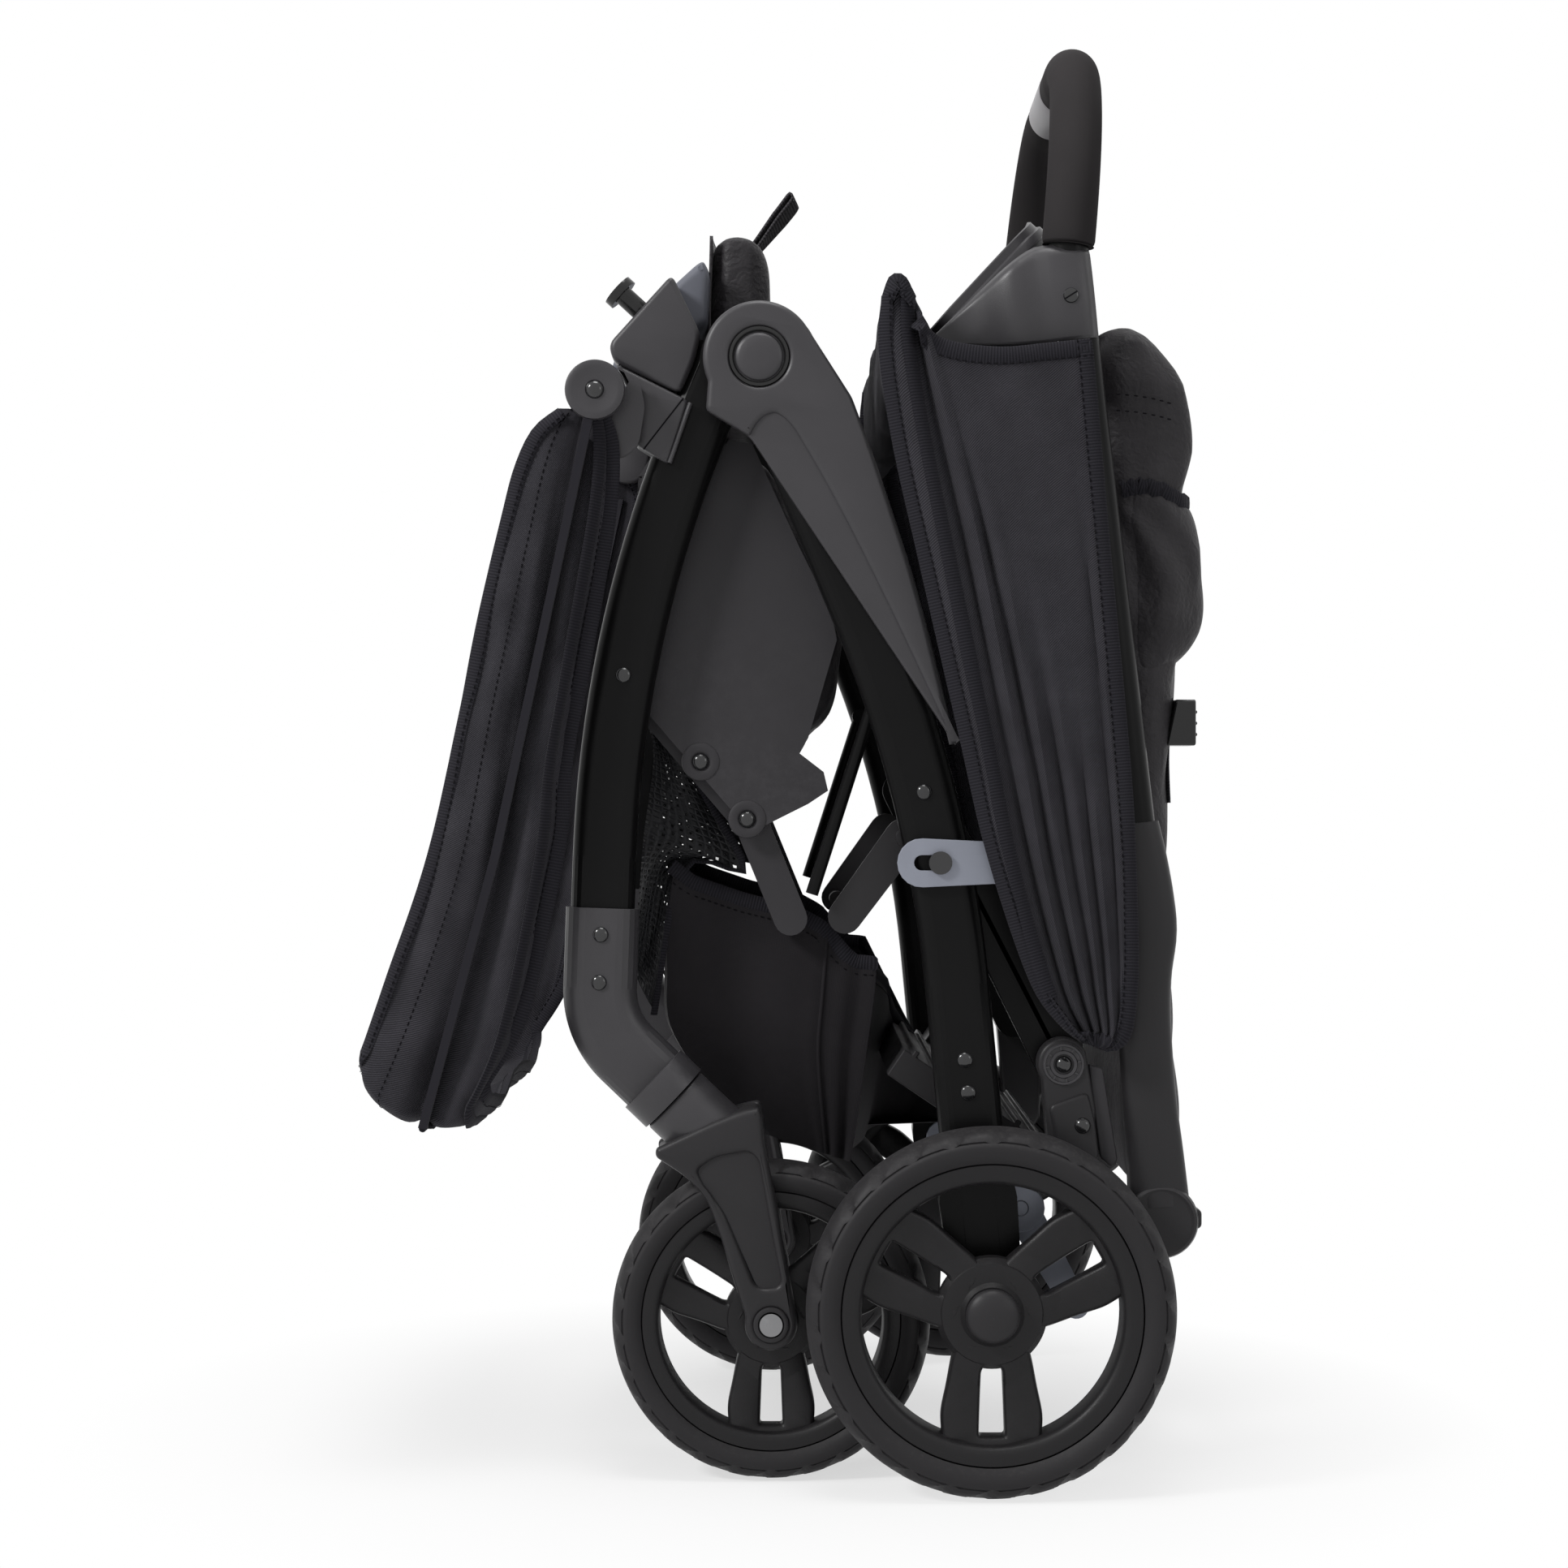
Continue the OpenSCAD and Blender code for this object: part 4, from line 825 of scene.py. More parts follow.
def soften(name, made, cap):
    """Remeshes a closed form and blows it up with the cloth solver, within a cap."""
    remesh = made.modifiers.new("Even", "REMESH")
    remesh.mode = "VOXEL"
    remesh.voxel_size = sizes().voxel
    mesh = seen_mesh(made)
    bpy.data.objects.remove(made)
    puffed = link_up(name, mesh)
    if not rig.quick():
        rest = np.array([v.co for v in mesh.vertices], float)
        cloth = puffed.modifiers.new("Cloth", "CLOTH")
        cloth.settings.quality = 4
        cloth.settings.use_pressure = True
        cloth.settings.uniform_pressure_force = 4.0
        cloth.settings.effector_weights.gravity = 0.0
        scene = bpy.context.scene
        for step in range(1, 21):
            scene.frame_set(step)
        seen = puffed.evaluated_get(bpy.context.evaluated_depsgraph_get())
        moved = np.array([v.co for v in seen.data.vertices], float) - rest
        far = np.linalg.norm(moved, axis=1, keepdims=True)
        moved *= np.minimum(1.0, cap / np.maximum(far, 1e-9))
        puffed.modifiers.remove(cloth)
        mesh.vertices.foreach_set("co", (rest + moved).astype(np.float32).ravel())
        mesh.update()
        scene.frame_set(1)
    return puffed


def sheet_area(made):
    return sum(face.area for face in made.data.polygons)


def edge_round(names, width, finish, segments=2):
    """Rounds the sharp edges of solids that stay, and gives them a finish."""
    for name in names:
        solid = frame["nodes"][name]
        weld = solid.modifiers.new("Weld", "WELD")
        weld.merge_threshold = 0.00002
        if width:
            bevel = solid.modifiers.new("Round", "BEVEL")
            bevel.width = width
            bevel.segments = segments
            bevel.limit_method = "ANGLE"
            bevel.angle_limit = math.radians(38)
            bevel.harden_normals = False
            bevel.use_clamp_overlap = True
        for index in range(max(1, len(solid.material_slots))):
            if not solid.material_slots:
                solid.data.materials.append(bpy.data.materials[finish])
            solid.material_slots[index].material = bpy.data.materials[finish]


# Where the solids lie

def bound(name):
    low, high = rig.box(name)
    return np.array(low), np.array(high)


def reach_of(name):
    """How far a solid reaches to the right."""
    return float(bound(name)[1][1])


def depths_of(name):
    """The inner and outer distance of a solid on one side from the middle."""
    low, high = bound(name)
    return sorted((abs(low[1]), abs(high[1])))


def middle_of(name):
    low, high = bound(name)
    mid = (low + high) / 2
    return float(mid[0]), float(mid[2])


def both(name):
    return [name + "_left", name + "_right"]


def for_left(side, name):
    """A solid that both sides stand for, named on the left only."""
    return [name] if side < 0 else ()


# Forms that several pieces share

def axes_at(degrees):
    """The directions along and across a heading in the side plane."""
    a = math.radians(degrees)
    return np.array((math.cos(a), math.sin(a))), np.array((-math.sin(a), math.cos(a)))


def tapering(w, share, least):
    """How far into its rounded end a form is, and how much of its section is left there."""
    end = max(0.0, (abs(w) - 1 + share) / share)
    return end, math.sqrt(max(least, 1.0 - end**2))


def sheet_points(rows, cols, place):
    """Points of a sheet, from a call that is given a row, a column and their shares."""
    return np.array([
        [place(i, j, i / (rows - 1), j / (cols - 1)) for j in range(cols)] for i in range(rows)
    ])


# Pieces

class StrollerOperator(bpy.types.Operator):
    """Shared base of the stroller's pieces."""

    bl_options = {"REGISTER", "UNDO"}

    def execute(self, context):
        self.build()
        return {"FINISHED"}


class STROLLER_OT_finishes(StrollerOperator):
    """Makes the shared effects and the finishes"""

    bl_idname = "stroller.finishes"
    bl_label = "Finishes"

    def build(self):
        make_groups()
        make_finishes()


FINE_EDGE = 0.0008


class STROLLER_OT_tubes(StrollerOperator):
    """Coats the legs, the handle tube and the cross tubes"""

    bl_idname = "stroller.tubes"
    bl_label = "Tubes"

    def build(self):
        edge_round(both("rear_leg") + both("front_leg") + ["handle_tube"], 0.0, "tube black")
        edge_round(["front_cross_tube", "basket_rods"], 0.0006, "tube black")
        edge_round(["front_canopy_bow"], 0.0006, "binding tape")
        edge_round(["rear_axle"], FINE_EDGE, "bright steel")


class STROLLER_OT_mouldings(StrollerOperator):
    """Rounds and finishes the moulded pieces that keep their solids"""

    bl_idname = "stroller.mouldings"
    bl_label = "Mouldings"

    def build(self):
        edge = sizes().edge
        edge_round(both("elbow"), edge * 1.3, "grey moulding", 3)
        edge_round(both("handle_bracket"), edge * 1.6, "dark moulding", 3)
        edge_round(both("swing_link") + ["axle_brackets"], edge, "tube black", 3)
        edge_round(["basket_brackets", "standing_platform", "brake_drums"], edge * 0.6, "dark moulding")
        edge_round(["seat_frame"], edge, "panel moulding", 3)
        edge_round(["brake_pedal", "brake_plates", "storage_link"], FINE_EDGE, "plated link")
        edge_round(["tray_posts"], 0.0012, "gloss buckle")
        edge_round(["grip_centre"], edge, "pale plastic", 3)
        edge_round(both("grip"), 0.004, "grip foam", 3)
        edge_round(both("fork_bolts"), FINE_EDGE, "bright steel")
        edge_round(["rear_pins", "front_pins"], FINE_EDGE, "rivet black")


# Places on the hinge cover are shares of its length from the hinge
COVER_L = 0.302
COVER_R = 0.039
COVER_FOOT = ((-0.122, -0.122), (-0.02, -0.185))
COVER_RIM = ((0.452, -0.893), (0.41, -0.72), (0.352, -0.5), (0.27, -0.25), (0.2, -0.06))
COVER_PANEL = (
    (-0.02, -0.185), (-0.002, -0.15), (0.032, -0.128), (0.066, -0.15), (0.1, -0.2), (0.19, -0.36),
    (0.3, -0.58), (0.39, -0.77), (0.44, -0.875),
)
BUTTON_HOLE_R = 0.0205
# Profiles of turned pieces are radius and distance out from the face that they stand on
BUTTON = (
    (0.0, 0.0012), (0.008, 0.001), (0.0135, 0.0003), (0.0158, -0.0006), (0.0168, -0.002), (0.0168, -0.006),
)
BUTTON_RING = (
    (0.0168, -0.0058), (0.0176, -0.0012), (0.0186, -0.0002), (0.0206, -0.0006), (0.0212, -0.003),
    (0.0212, -0.006),
)


def on_cover(points):
    return [(HINGE[0] + x * COVER_L, HINGE[1] + z * COVER_L) for x, z in points]


class STROLLER_OT_hinge_covers(StrollerOperator):
    """Builds the moulded covers over the main hinges, with their sunk panels and buttons"""

    bl_idname = "stroller.hinge_covers"
    bl_label = "Hinge covers"

    def build(self):
        head = arc(HINGE, COVER_R, 30, 205, 26) + on_cover(COVER_FOOT)
        rim = on_cover(COVER_RIM[:1]) + pairs(curve_through(on_cover(COVER_RIM), 26))[1:-1]
        panel = pairs(curve_through(on_cover(COVER_PANEL), 34))[1:]
        base = filleted(head + rim, 0.004)
        shell = filleted(head + panel + rim, 0.003)
        hole = circle(HINGE, BUTTON_HOLE_R, 48)
        look = ("grey moulding", "rear_frame")
        for side, name in SIDES:
            key = "hinge_cover_" + name
            inner, outer = depths_of(key)
            moulded(key + ".base", base, (inner, outer - 0.0026), side, 0.0016, *look)
            moulded(key + ".shell", shell, (inner, outer), side, 0.0042, *look, [key], [hole])
            caps = for_left(side, "hinge_caps")
            turned("hinge_button_" + name, BUTTON, outer, HINGE, side, 64, *look, caps)
            turned("hinge_ring_" + name, BUTTON_RING, outer, HINGE, side, 64, "gloss buckle", "rear_frame")


# Shares of the wheel's radius and of half its width
TYRE_WALL = (
    (0.815, 0.8), (0.835, 0.9), (0.87, 0.985), (0.905, 1.0), (0.922, 0.965), (0.93, 0.9), (0.938, 0.93),
    (0.955, 0.88), (0.978, 0.72), (0.992, 0.45), (1.0, 0.15),
)
RIM_LIP = (
    (0.7, 0.0), (0.7, 0.5), (0.708, 0.66), (0.725, 0.76), (0.75, 0.8), (0.79, 0.81), (0.806, 0.8),
    (0.812, 0.74), (0.822, 0.66), (0.822, 0.0),
)
# The tread is cut into the wall's points from the start on
TREAD_START = 6
TREAD_LUGS = 26
TREAD_LEAN = 0.35
TREAD_DEPTHS = (0.0016, 0.0034, 0.003, 0.0018, 0.0)
# A spoke's flank is radius and degrees from its heading, and its window is along and across that heading
SPOKES = 3
SPOKE_FLANK = ((0.24, 52), (0.33, 41), (0.46, 32), (0.6, 27), (0.69, 23), (0.715, 22))
SPOKE_END_R = 0.75
SPOKE_WINDOW = (
    (0.66, 0.0), (0.66, 0.06), (0.65, 0.07), *arc((0.33, 0.0), 0.058, 90, 270, 13), (0.65, -0.07),
    (0.66, -0.06),
)
SPOKE_SINK = 0.0045
AXLE_R = {"rear": 0.006, "front": 0.005}


class STROLLER_OT_wheels(StrollerOperator):
    """Builds the tyres with their tread and the three-armed rims"""

    bl_idname = "stroller.wheels"
    bl_label = "Wheels"

    def build(self):
        for end in ("rear", "front"):
            for side, name in SIDES:
                self.wheel(end, side, name)

    def wheel(self, end, side, name):
        tyre, rim, body = ("%s_%s_%s" % (end, kind, name) for kind in ("tyre", "rim", "wheel"))
        low, high = bound(tyre)
        radius = float(high[2] - low[2]) / 2
        centre = middle_of(tyre)
        inner, outer = depths_of(tyre)
        mid, half = (inner + outer) / 2, (outer - inner) / 2

        def mirrored(wall):
            out = [(r * radius, mid + w * half) for r, w in wall]
            return out + [(r * radius, mid - w * half) for r, w in reversed(wall)]

        def tread(r, out, a, j):
            spot = min(j, 2 * len(TYRE_WALL) - 1 - j) - TREAD_START
            if spot < 0:
                return r
            lean = TREAD_LEAN if out > mid else -TREAD_LEAN
            phase = (a * TREAD_LUGS / FULL_TURN + lean * spot / 3) % 1.0
            cut = max(0.0, 1.0 - abs(phase - 0.5) / 0.2)
            return r - TREAD_DEPTHS[min(spot, 4)] * min(1.0, cut * 1.6)

        rubber = lathe(tyre + ".rubber", mirrored(TYRE_WALL), centre, side, 260, tread)
        dress(rubber, "tyre rubber", "tyre", body, [tyre], 40)
        barrel = lathe(rim + ".barrel", mirrored(RIM_LIP), centre, side, 120)
        dress(barrel, "rim plastic", "moulding", body, [rim], 50)
        thick = half * 0.52
        for k in range(SPOKES):
            heading = 30 + 360 / SPOKES * k
            arm = self.spoke("%s.spoke_%d" % (rim, k), heading, centre, radius, mid, thick, side)
            dress(arm, "rim plastic", "moulding", body, (), 40)
        face = half * 0.66
        core = AXLE_R[end] + 0.0002
        boss = [
            (0.15, -face), (0.17, 0.003 - face), (0.2, -0.98 * thick), (0.27, -0.9 * thick),
            (0.3, -0.5 * thick), (0.3, 0.5 * thick), (0.27, 0.9 * thick), (0.2, 0.98 * thick),
            (0.172, face - 0.003), (0.15, face),
        ]
        profile = [(core, mid - face), *((r * radius, mid + out) for r, out in boss), (core, mid + face)]
        dress(lathe(rim + ".hub", profile, centre, side, 72), "rim plastic", "moulding", body, (), 30)
        if end == "rear":
            edge_round(["rear_hub_caps_" + name], 0.0, "dark moulding")

    def spoke(self, name, heading, centre, radius, mid, thick, side):
        """One arm of a rim, hollowed on both faces and with its window."""

        def polar(r, degrees):
            return tuple(np.array(centre) + axes_at(heading + degrees)[0] * r * radius)

        upper = curve_through([polar(r, turn) for r, turn in SPOKE_FLANK], 24)
        lower = curve_through([polar(r, -turn) for r, turn in reversed(SPOKE_FLANK)], 24)
        shape = [polar(SPOKE_END_R, turn) for turn in np.linspace(0, 21, 7)] + pairs(reversed(upper))
        shape += pairs(reversed(lower)) + [polar(SPOKE_END_R, turn) for turn in np.linspace(-21, 0, 7)[:-1]]
        along, over = axes_at(heading)
        hole = [tuple(np.array(centre) + radius * (along * a + over * b)) for a, b in SPOKE_WINDOW]
        arm = slotted(name, shape, hole, mid, thick, side, 0.0035)
        for vertex in arm.data.vertices:
            away = math.hypot(vertex.co.x - centre[0], vertex.co.z - centre[1]) / radius
            sink = SPOKE_SINK * math.sin(math.pi * clamp((away - 0.2) / 0.55))
            out = abs(vertex.co.y) - mid
            vertex.co.y = side * (mid + out - math.copysign(sink, out))
        return arm


TRAY_ARM = (
    (-0.1232, 0.7973), (-0.0787, 0.8464), (-0.0583, 0.8039), (-0.0629, 0.7851), (-0.073, 0.7622),
    (-0.1196, 0.7842),
)
TRAY_COLLAR = (
    (-0.1185, 0.7835), (-0.0665, 0.7573), (-0.0812, 0.7123), (-0.0984, 0.7229), (-0.1049, 0.727),
    (-0.1073, 0.7603),
)
# Raised lines on the collar: name, line, rise, radius, sides and finish
TRAY_LINES = (
    ("seam", ((-0.0705, 0.7589), (-0.0984, 0.7229)), 0.0007, 0.0006, 8, "thread"),
    ("ridge", ((-0.0655, 0.7555), (-0.0802, 0.7135)), 0.0005, 0.0018, 10, "grey moulding"),
)
BELLY = (
    (-0.157, 1.0), (-0.15, 1.022), (-0.101, 1.076), (-0.08, 1.095), (-0.0735, 1.099), (-0.0675, 1.088),
    (-0.0705, 1.04), (-0.083, 1.03), (-0.122, 1.01), (-0.149, 0.993),
)
CANOPY_HUB = (-0.1309, 0.7613)
CANOPY_NECK = ((-0.104, 0.77), (-0.1, 0.752), (-0.104, 0.727), (-0.113, 0.7195), (-0.122, 0.7195))
CANOPY_NECK_Y = 0.2055
CANOPY_PIN = ((0.0, 0.0), (0.003, -0.0002), (0.005, -0.0012), (0.0062, -0.003), (0.0042, -0.003))


class STROLLER_OT_tray_brackets(StrollerOperator):
    """Builds the angular arms of the child's tray, their collars on the legs and the hood's pivots"""

    bl_idname = "stroller.tray_brackets"
    bl_label = "Tray brackets"

    def build(self):
        look = ("grey moulding", "front_frame")
        for side, name in SIDES:
            solid = "tray_bracket_" + name
            inner, outer = depths_of(solid)
            arm, collar = filleted(TRAY_ARM, 0.006), filleted(TRAY_COLLAR, 0.004)
            moulded("tray_arm_" + name, arm, (inner, outer), side, 0.0038, *look, [solid])
            moulded("tray_collar_" + name, collar, (inner, outer + 0.0008), side, 0.003, *look)
            for key, line, rise, radius, count, finish in TRAY_LINES:
                path = even([(x, side * (outer + rise), z) for x, z in line], 8)
                made = rod("tray_collar_%s_%s" % (key, name), path, radius, count)
                dress(made, finish, "moulding", "front_frame")
            neck = filleted(arc(CANOPY_HUB, 0.0205, 20, 300, 24) + list(CANOPY_NECK), 0.004)
            depths = (CANOPY_NECK_Y, CANOPY_NECK_Y + 0.01)
            moulded("canopy_neck_" + name, neck, depths, side, 0.003, *look, for_left(side, "canopy_mounts"))
            face = reach_of("canopy_mounts")
            pin = (*CANOPY_PIN, (0.0042, CANOPY_NECK_Y - face))
            rivet("canopy_pin_" + name, pin, face, CANOPY_HUB, side, "front_frame", 40)
        reach = reach_of("belly_tray")
        tray = plate("belly_tray_shell", filleted(scaled(BELLY), 0.008), -reach, reach, 1.0, 0.006)
        dress(tray, "tray plastic", "pale_plastic", "front_frame", ["belly_tray"])


# Stations of a handle foot's arm: place, half width and half depth
FOOT_PATH = (
    (0.2444, 0.4615, 0.0165, 0.0145), (0.2465, 0.44, 0.0195, 0.0148), (0.25, 0.41, 0.0215, 0.0148),
    (0.2522, 0.385, 0.0215, 0.0145), (0.2505, 0.355, 0.0195, 0.0138), (0.251, 0.32, 0.0187, 0.0132),
    (0.2545, 0.27, 0.0188, 0.013), (0.2585, 0.23, 0.02, 0.0128), (0.2612, 0.195, 0.0215, 0.0125),
)
FOOT_STATIONS = 40
FOOT_Y = 0.216
FOOT_PIVOT = (0.194, 0.294)
FOOT_PIN = (0.207, 0.2517)
FOOT_RIVET_AT = (0.2515, 0.402)
FOOT_END = (0.2619, 0.185)
FOOT_END_Y = 0.2292
FOOT_LINK_Y = 0.2262
FOOT_COLLAR_Y = 0.2285
FOOT_COLLAR = (
    (0.1832, 0.2653), (0.2106, 0.2754), (0.2157, 0.2553), (0.2187, 0.2287), (0.206, 0.216), (0.1925, 0.222),
)
FOOT_WEB = (
    (0.2117, 0.2938), (0.2217, 0.2906), (0.232, 0.2267), (0.2279, 0.2216), (0.2197, 0.2287), (0.2136, 0.2754),
)
FOOT_LINK = (
    *arc(FOOT_PIVOT, 0.018, 30, 215, 20), (0.1852, 0.2105), *arc((0.2007, 0.2132), 0.015, 185, 340, 12),
    (0.2165, 0.262),
)
FOOT_NUB = ((0.284, 0.178), (0.2905, 0.18), (0.2905, 0.192), (0.284, 0.194))
FOOT_RIB = ((0.0098, -0.0006), (0.0125, -0.0006), (0.0125, 0.0006), (0.0098, 0.0006))
FOOT_BOSS = (
    (0.0, -0.0012), (0.0195, -0.0012), (0.0212, -0.0006), (0.0226, 0.0), (0.0246, -0.0012), (0.026, -0.0045),
    (0.026, -0.0227), (0.023, -0.0257), (0.0, -0.0257),
)
FOOT_RIVET = ((0.0, 0.0012), (0.0028, 0.001), (0.0045, 0.0), (0.0056, -0.0018), (0.006, -0.004))
FOOT_RING = (
    (0.0068, -0.0002), (0.0072, 0.0014), (0.0092, 0.0016), (0.0098, 0.0004), (0.0122, 0.0004),
    (0.0126, 0.0018), (0.014, 0.0018), (0.0146, 0.0),
)
FOOT_DOME = ((0.0, 0.003), (0.0025, 0.0027), (0.0044, 0.0017), (0.0057, 0.0), (0.006, -0.002))


class STROLLER_OT_handle_feet(StrollerOperator):
    """Builds the rounded arms below the handle, with their end bosses, collars and slotted pivots"""

    bl_idname = "stroller.handle_feet"
    bl_label = "Handle feet"

    def build(self):
        dark = ("dark moulding", "handle")
        for side, name in SIDES:
            self.arm(side, name)
            turned("handle_foot_end_" + name, FOOT_BOSS, FOOT_END_Y, FOOT_END, side, 72, *dark)
            moulded("handle_foot_nub_" + name, filleted(FOOT_NUB, 0.003), (0.209, 0.223), side, 0.002, *dark)
            rivet("handle_foot_rivet_" + name, FOOT_RIVET, FOOT_END_Y, FOOT_RIVET_AT, side, "handle")
            link, collar = filleted(FOOT_LINK, 0.002), filleted(FOOT_COLLAR, 0.005)
            moulded("handle_foot_link_" + name, link, (0.2052, FOOT_LINK_Y), side, 0.003, *dark)
            moulded("handle_foot_collar_" + name, collar, (0.2075, FOOT_COLLAR_Y), side, 0.003, *dark)
            web, look = filleted(FOOT_WEB, 0.002), ("panel moulding", "handle")
            moulded("handle_foot_web_" + name, web, (0.213, 0.2225), side, 0.0015, *look)
            self.pivot(side, name)

    def arm(self, side, name):
        spine = curve_through(FOOT_PATH, FOOT_STATIONS)
        rows = []
        for i, (x, z, half_w, half_d) in enumerate(spine):
            ahead = spine[min(i + 1, FOOT_STATIONS - 1)] - spine[max(i - 1, 0)]
            along = ahead[:2] / math.hypot(ahead[0], ahead[1])
            ring = []
            for a in round_turns(36):
                wide = math.copysign(abs(math.cos(a)) ** 0.8, math.cos(a)) * half_w
                deep = math.copysign(abs(math.sin(a)) ** 0.7, math.sin(a)) * half_d
                ring.append((x - along[1] * wide, side * (FOOT_Y + deep), z + along[0] * wide))
            rows.append(ring)
        tube = closed_form("handle_foot_arm_" + name, rows)
        dress(tube, "dark moulding", "moulding", "handle", ["handle_bracket_" + name])

    def pivot(self, side, name):
        look = ("grey moulding", "handle")
        turned("handle_foot_ring_" + name, FOOT_RING, FOOT_LINK_Y, FOOT_PIVOT, side, 64, *look)
        for k in range(8):
            along, over = axes_at(45 * k + 10)
            corners = [tuple(np.array(FOOT_PIVOT) + along * r + over * h) for r, h in FOOT_RIB]
            depths = (FOOT_LINK_Y, FOOT_LINK_Y + 0.0017)
            moulded("handle_foot_rib_%s_%d" % (name, k), corners, depths, side, 0.0002, *look)
        rivet("handle_foot_bolt_" + name, FOOT_DOME, FOOT_LINK_Y + 0.0005, FOOT_PIVOT, side, "handle")
        rivet("handle_foot_pin_" + name, FOOT_DOME, FOOT_COLLAR_Y, FOOT_PIN, side, "handle")


FORK_EDGE = (
    (-0.027, 0.118), (-0.036, 0.145), (-0.0435, 0.1707), (-0.0494, 0.1878), (-0.0553, 0.2015),
    (-0.0699, 0.2157), (-0.0895, 0.2285), (-0.0895, 0.2345), (-0.0538, 0.2512), (-0.0304, 0.2607),
    (-0.0175, 0.2632), (-0.0155, 0.2575), (-0.0135, 0.2376), (-0.0026, 0.1849),
)
FORK_SUNK = (
    (-0.0605, 0.2195), (-0.048, 0.2285), (-0.0245, 0.2325), (-0.018, 0.2266), (-0.008, 0.1706),
    (-0.0015, 0.1385), (-0.0185, 0.1365), (-0.0305, 0.165), (-0.0415, 0.1907), (-0.0565, 0.2105),
)
FORK_RING = ((0.0086, 0.0012), (0.0092, 0.0026), (0.0108, 0.0028), (0.0122, 0.0022), (0.0126, 0.0))
# The sunk panel's floor is spread about its middle, to reach under the edge of its opening
FORK_MIDDLE = Vector((-0.028, 0.0, 0.185))
FORK_SPREAD = (
    Matrix.Translation(FORK_MIDDLE) @ Matrix.Diagonal((1.09, 1, 1.03, 1)) @ Matrix.Translation(-FORK_MIDDLE)
)
SWIVEL = (-0.078, 0.2669)
SWIVEL_DOWN = (0.7218, -0.6921)
CASTER_Y = 0.191
CROWN_CAP = (
    (-0.0885, 0.2335), (-0.0538, 0.2505), (-0.0304, 0.26), (-0.0185, 0.262), (-0.0155, 0.25), (-0.03, 0.244),
    (-0.062, 0.2245), (-0.0875, 0.2285),
)
CROWN_COLLAR = (
    (0.0006, 0.019), (0.0006, 0.0246), (0.0012, 0.0256), (0.0026, 0.0262), (0.02, 0.0262), (0.032, 0.0264),
    (0.04, 0.0268),
)


class STROLLER_OT_forks(StrollerOperator):
    """Builds the shaped faces of the caster forks, with their sunk panels and bolt rings"""

    bl_idname = "stroller.forks"
    bl_label = "Fork faces"

    def build(self):
        axle = middle_of("front_tyre_left")
        outline = filleted(arc(axle, 0.0185, 12, -192, 22) + list(FORK_EDGE), 0.006)
        sunk = filleted(FORK_SUNK, 0.007)
        holes = [sunk, circle(axle, 0.0105, 40)]
        for side, name in SIDES:
            look = ("dark moulding", "caster_" + name)
            inside, face = depths_of("fork_" + name)
            for key, inner, outer, solids in (
                ("face", face - 0.0095, face + 0.0012, ["fork_" + name]),
                ("back", inside - 0.0012, inside + 0.0095, ()),
            ):
                shell, panel = "fork_%s_%s" % (key, name), "fork_%s_panel_%s" % (key, name)
                moulded(shell, outline, (inner, outer), side, 0.0042, *look, solids, holes)
                depths = (inner + 0.0025, outer - 0.0028)
                floor = moulded(panel, filleted(sunk, 0.003), depths, side, 0.0004, *look)
                floor.data.transform(FORK_SPREAD)
            self.crown(side, name)
            turned("fork_ring_" + name, FORK_RING, face, axle, side, 48, *look)

    def crown(self, side, name):
        """The collar under an elbow and the cap that joins a fork's blades."""
        down = np.array((SWIVEL_DOWN[0], 0.0, SWIVEL_DOWN[1]))
        over = np.array((-SWIVEL_DOWN[1], 0.0, SWIVEL_DOWN[0]))
        top = np.array((SWIVEL[0], side * CASTER_Y, SWIVEL[1]))
        flat = np.array(ACROSS)
        turns = round_turns(48)
        rows = []
        for s, r in CROWN_COLLAR:
            rows.append([top + down * s + r * (over * math.cos(a) + flat * math.sin(a)) for a in turns])
        collar = tidy_normals(grid("fork_collar_" + name, rows, close_cols=True))
        dress(collar, "grey moulding", "moulding", "caster_" + name, (), 40)
        cap = filleted(CROWN_CAP, 0.004)
        moulded("fork_cap_" + name, cap, (0.1632, 0.2188), side, 0.003, "dark moulding", "caster_" + name)


BOW = ((-0.1309, 0.7613), (-0.1999, 0.4383), (-0.2501, 0.2501))
HOOD_LEFT = (
    (-0.2, 0.956), (-0.222, 0.938), (-0.238, 0.905), (-0.25, 0.86), (-0.268, 0.783), (-0.293, 0.659),
    (-0.318, 0.551), (-0.352, 0.452), (-0.3745, 0.386),
)
HOOD_RIGHT = (
    (-0.158, 0.955), (-0.148, 0.925), (-0.15, 0.865), (-0.169, 0.75), (-0.188, 0.65), (-0.194, 0.575),
    (-0.212, 0.485), (-0.231, 0.41), (-0.262, 0.357),
)
HOOD_FOOT = (
    (-0.3745, 0.386), (-0.371, 0.362), (-0.352, 0.342), (-0.325, 0.329), (-0.3, 0.326), (-0.28, 0.334),
    (-0.262, 0.357),
)
HOOD_ROWS, HOOD_COLS, HOOD_TURN_ROWS, HOOD_CROSS_ROWS = 60, 41, 8, 22
# How far the hood's side stands out at shares across it
HOOD_ACROSS = (0.0, 0.08, 0.24, 0.4, 0.5, 0.54, 0.58, 0.7, 0.8, 0.85, 0.88, 0.94, 1.0)
HOOD_BULGE = (0.35, 0.7, 1.0, 0.75, 0.3, 0.0, 0.35, 0.95, 0.85, 0.6, 0.22, 0.12, 0.1)
HOOD_RISE = 0.0105
HOOD_BEND = 0.03
HOOD_DISH = (
    (0.0066, 0.0004), (0.0125, 0.0006), (0.0155, 0.0014), (0.0182, 0.0016), (0.0203, 0.0008),
    (0.0208, -0.001), (0.0208, -0.0058),
)
WEB_FOLDS = 26
WEB_HALF = 0.0004
WEB_Y = (0.2185, 0.228)


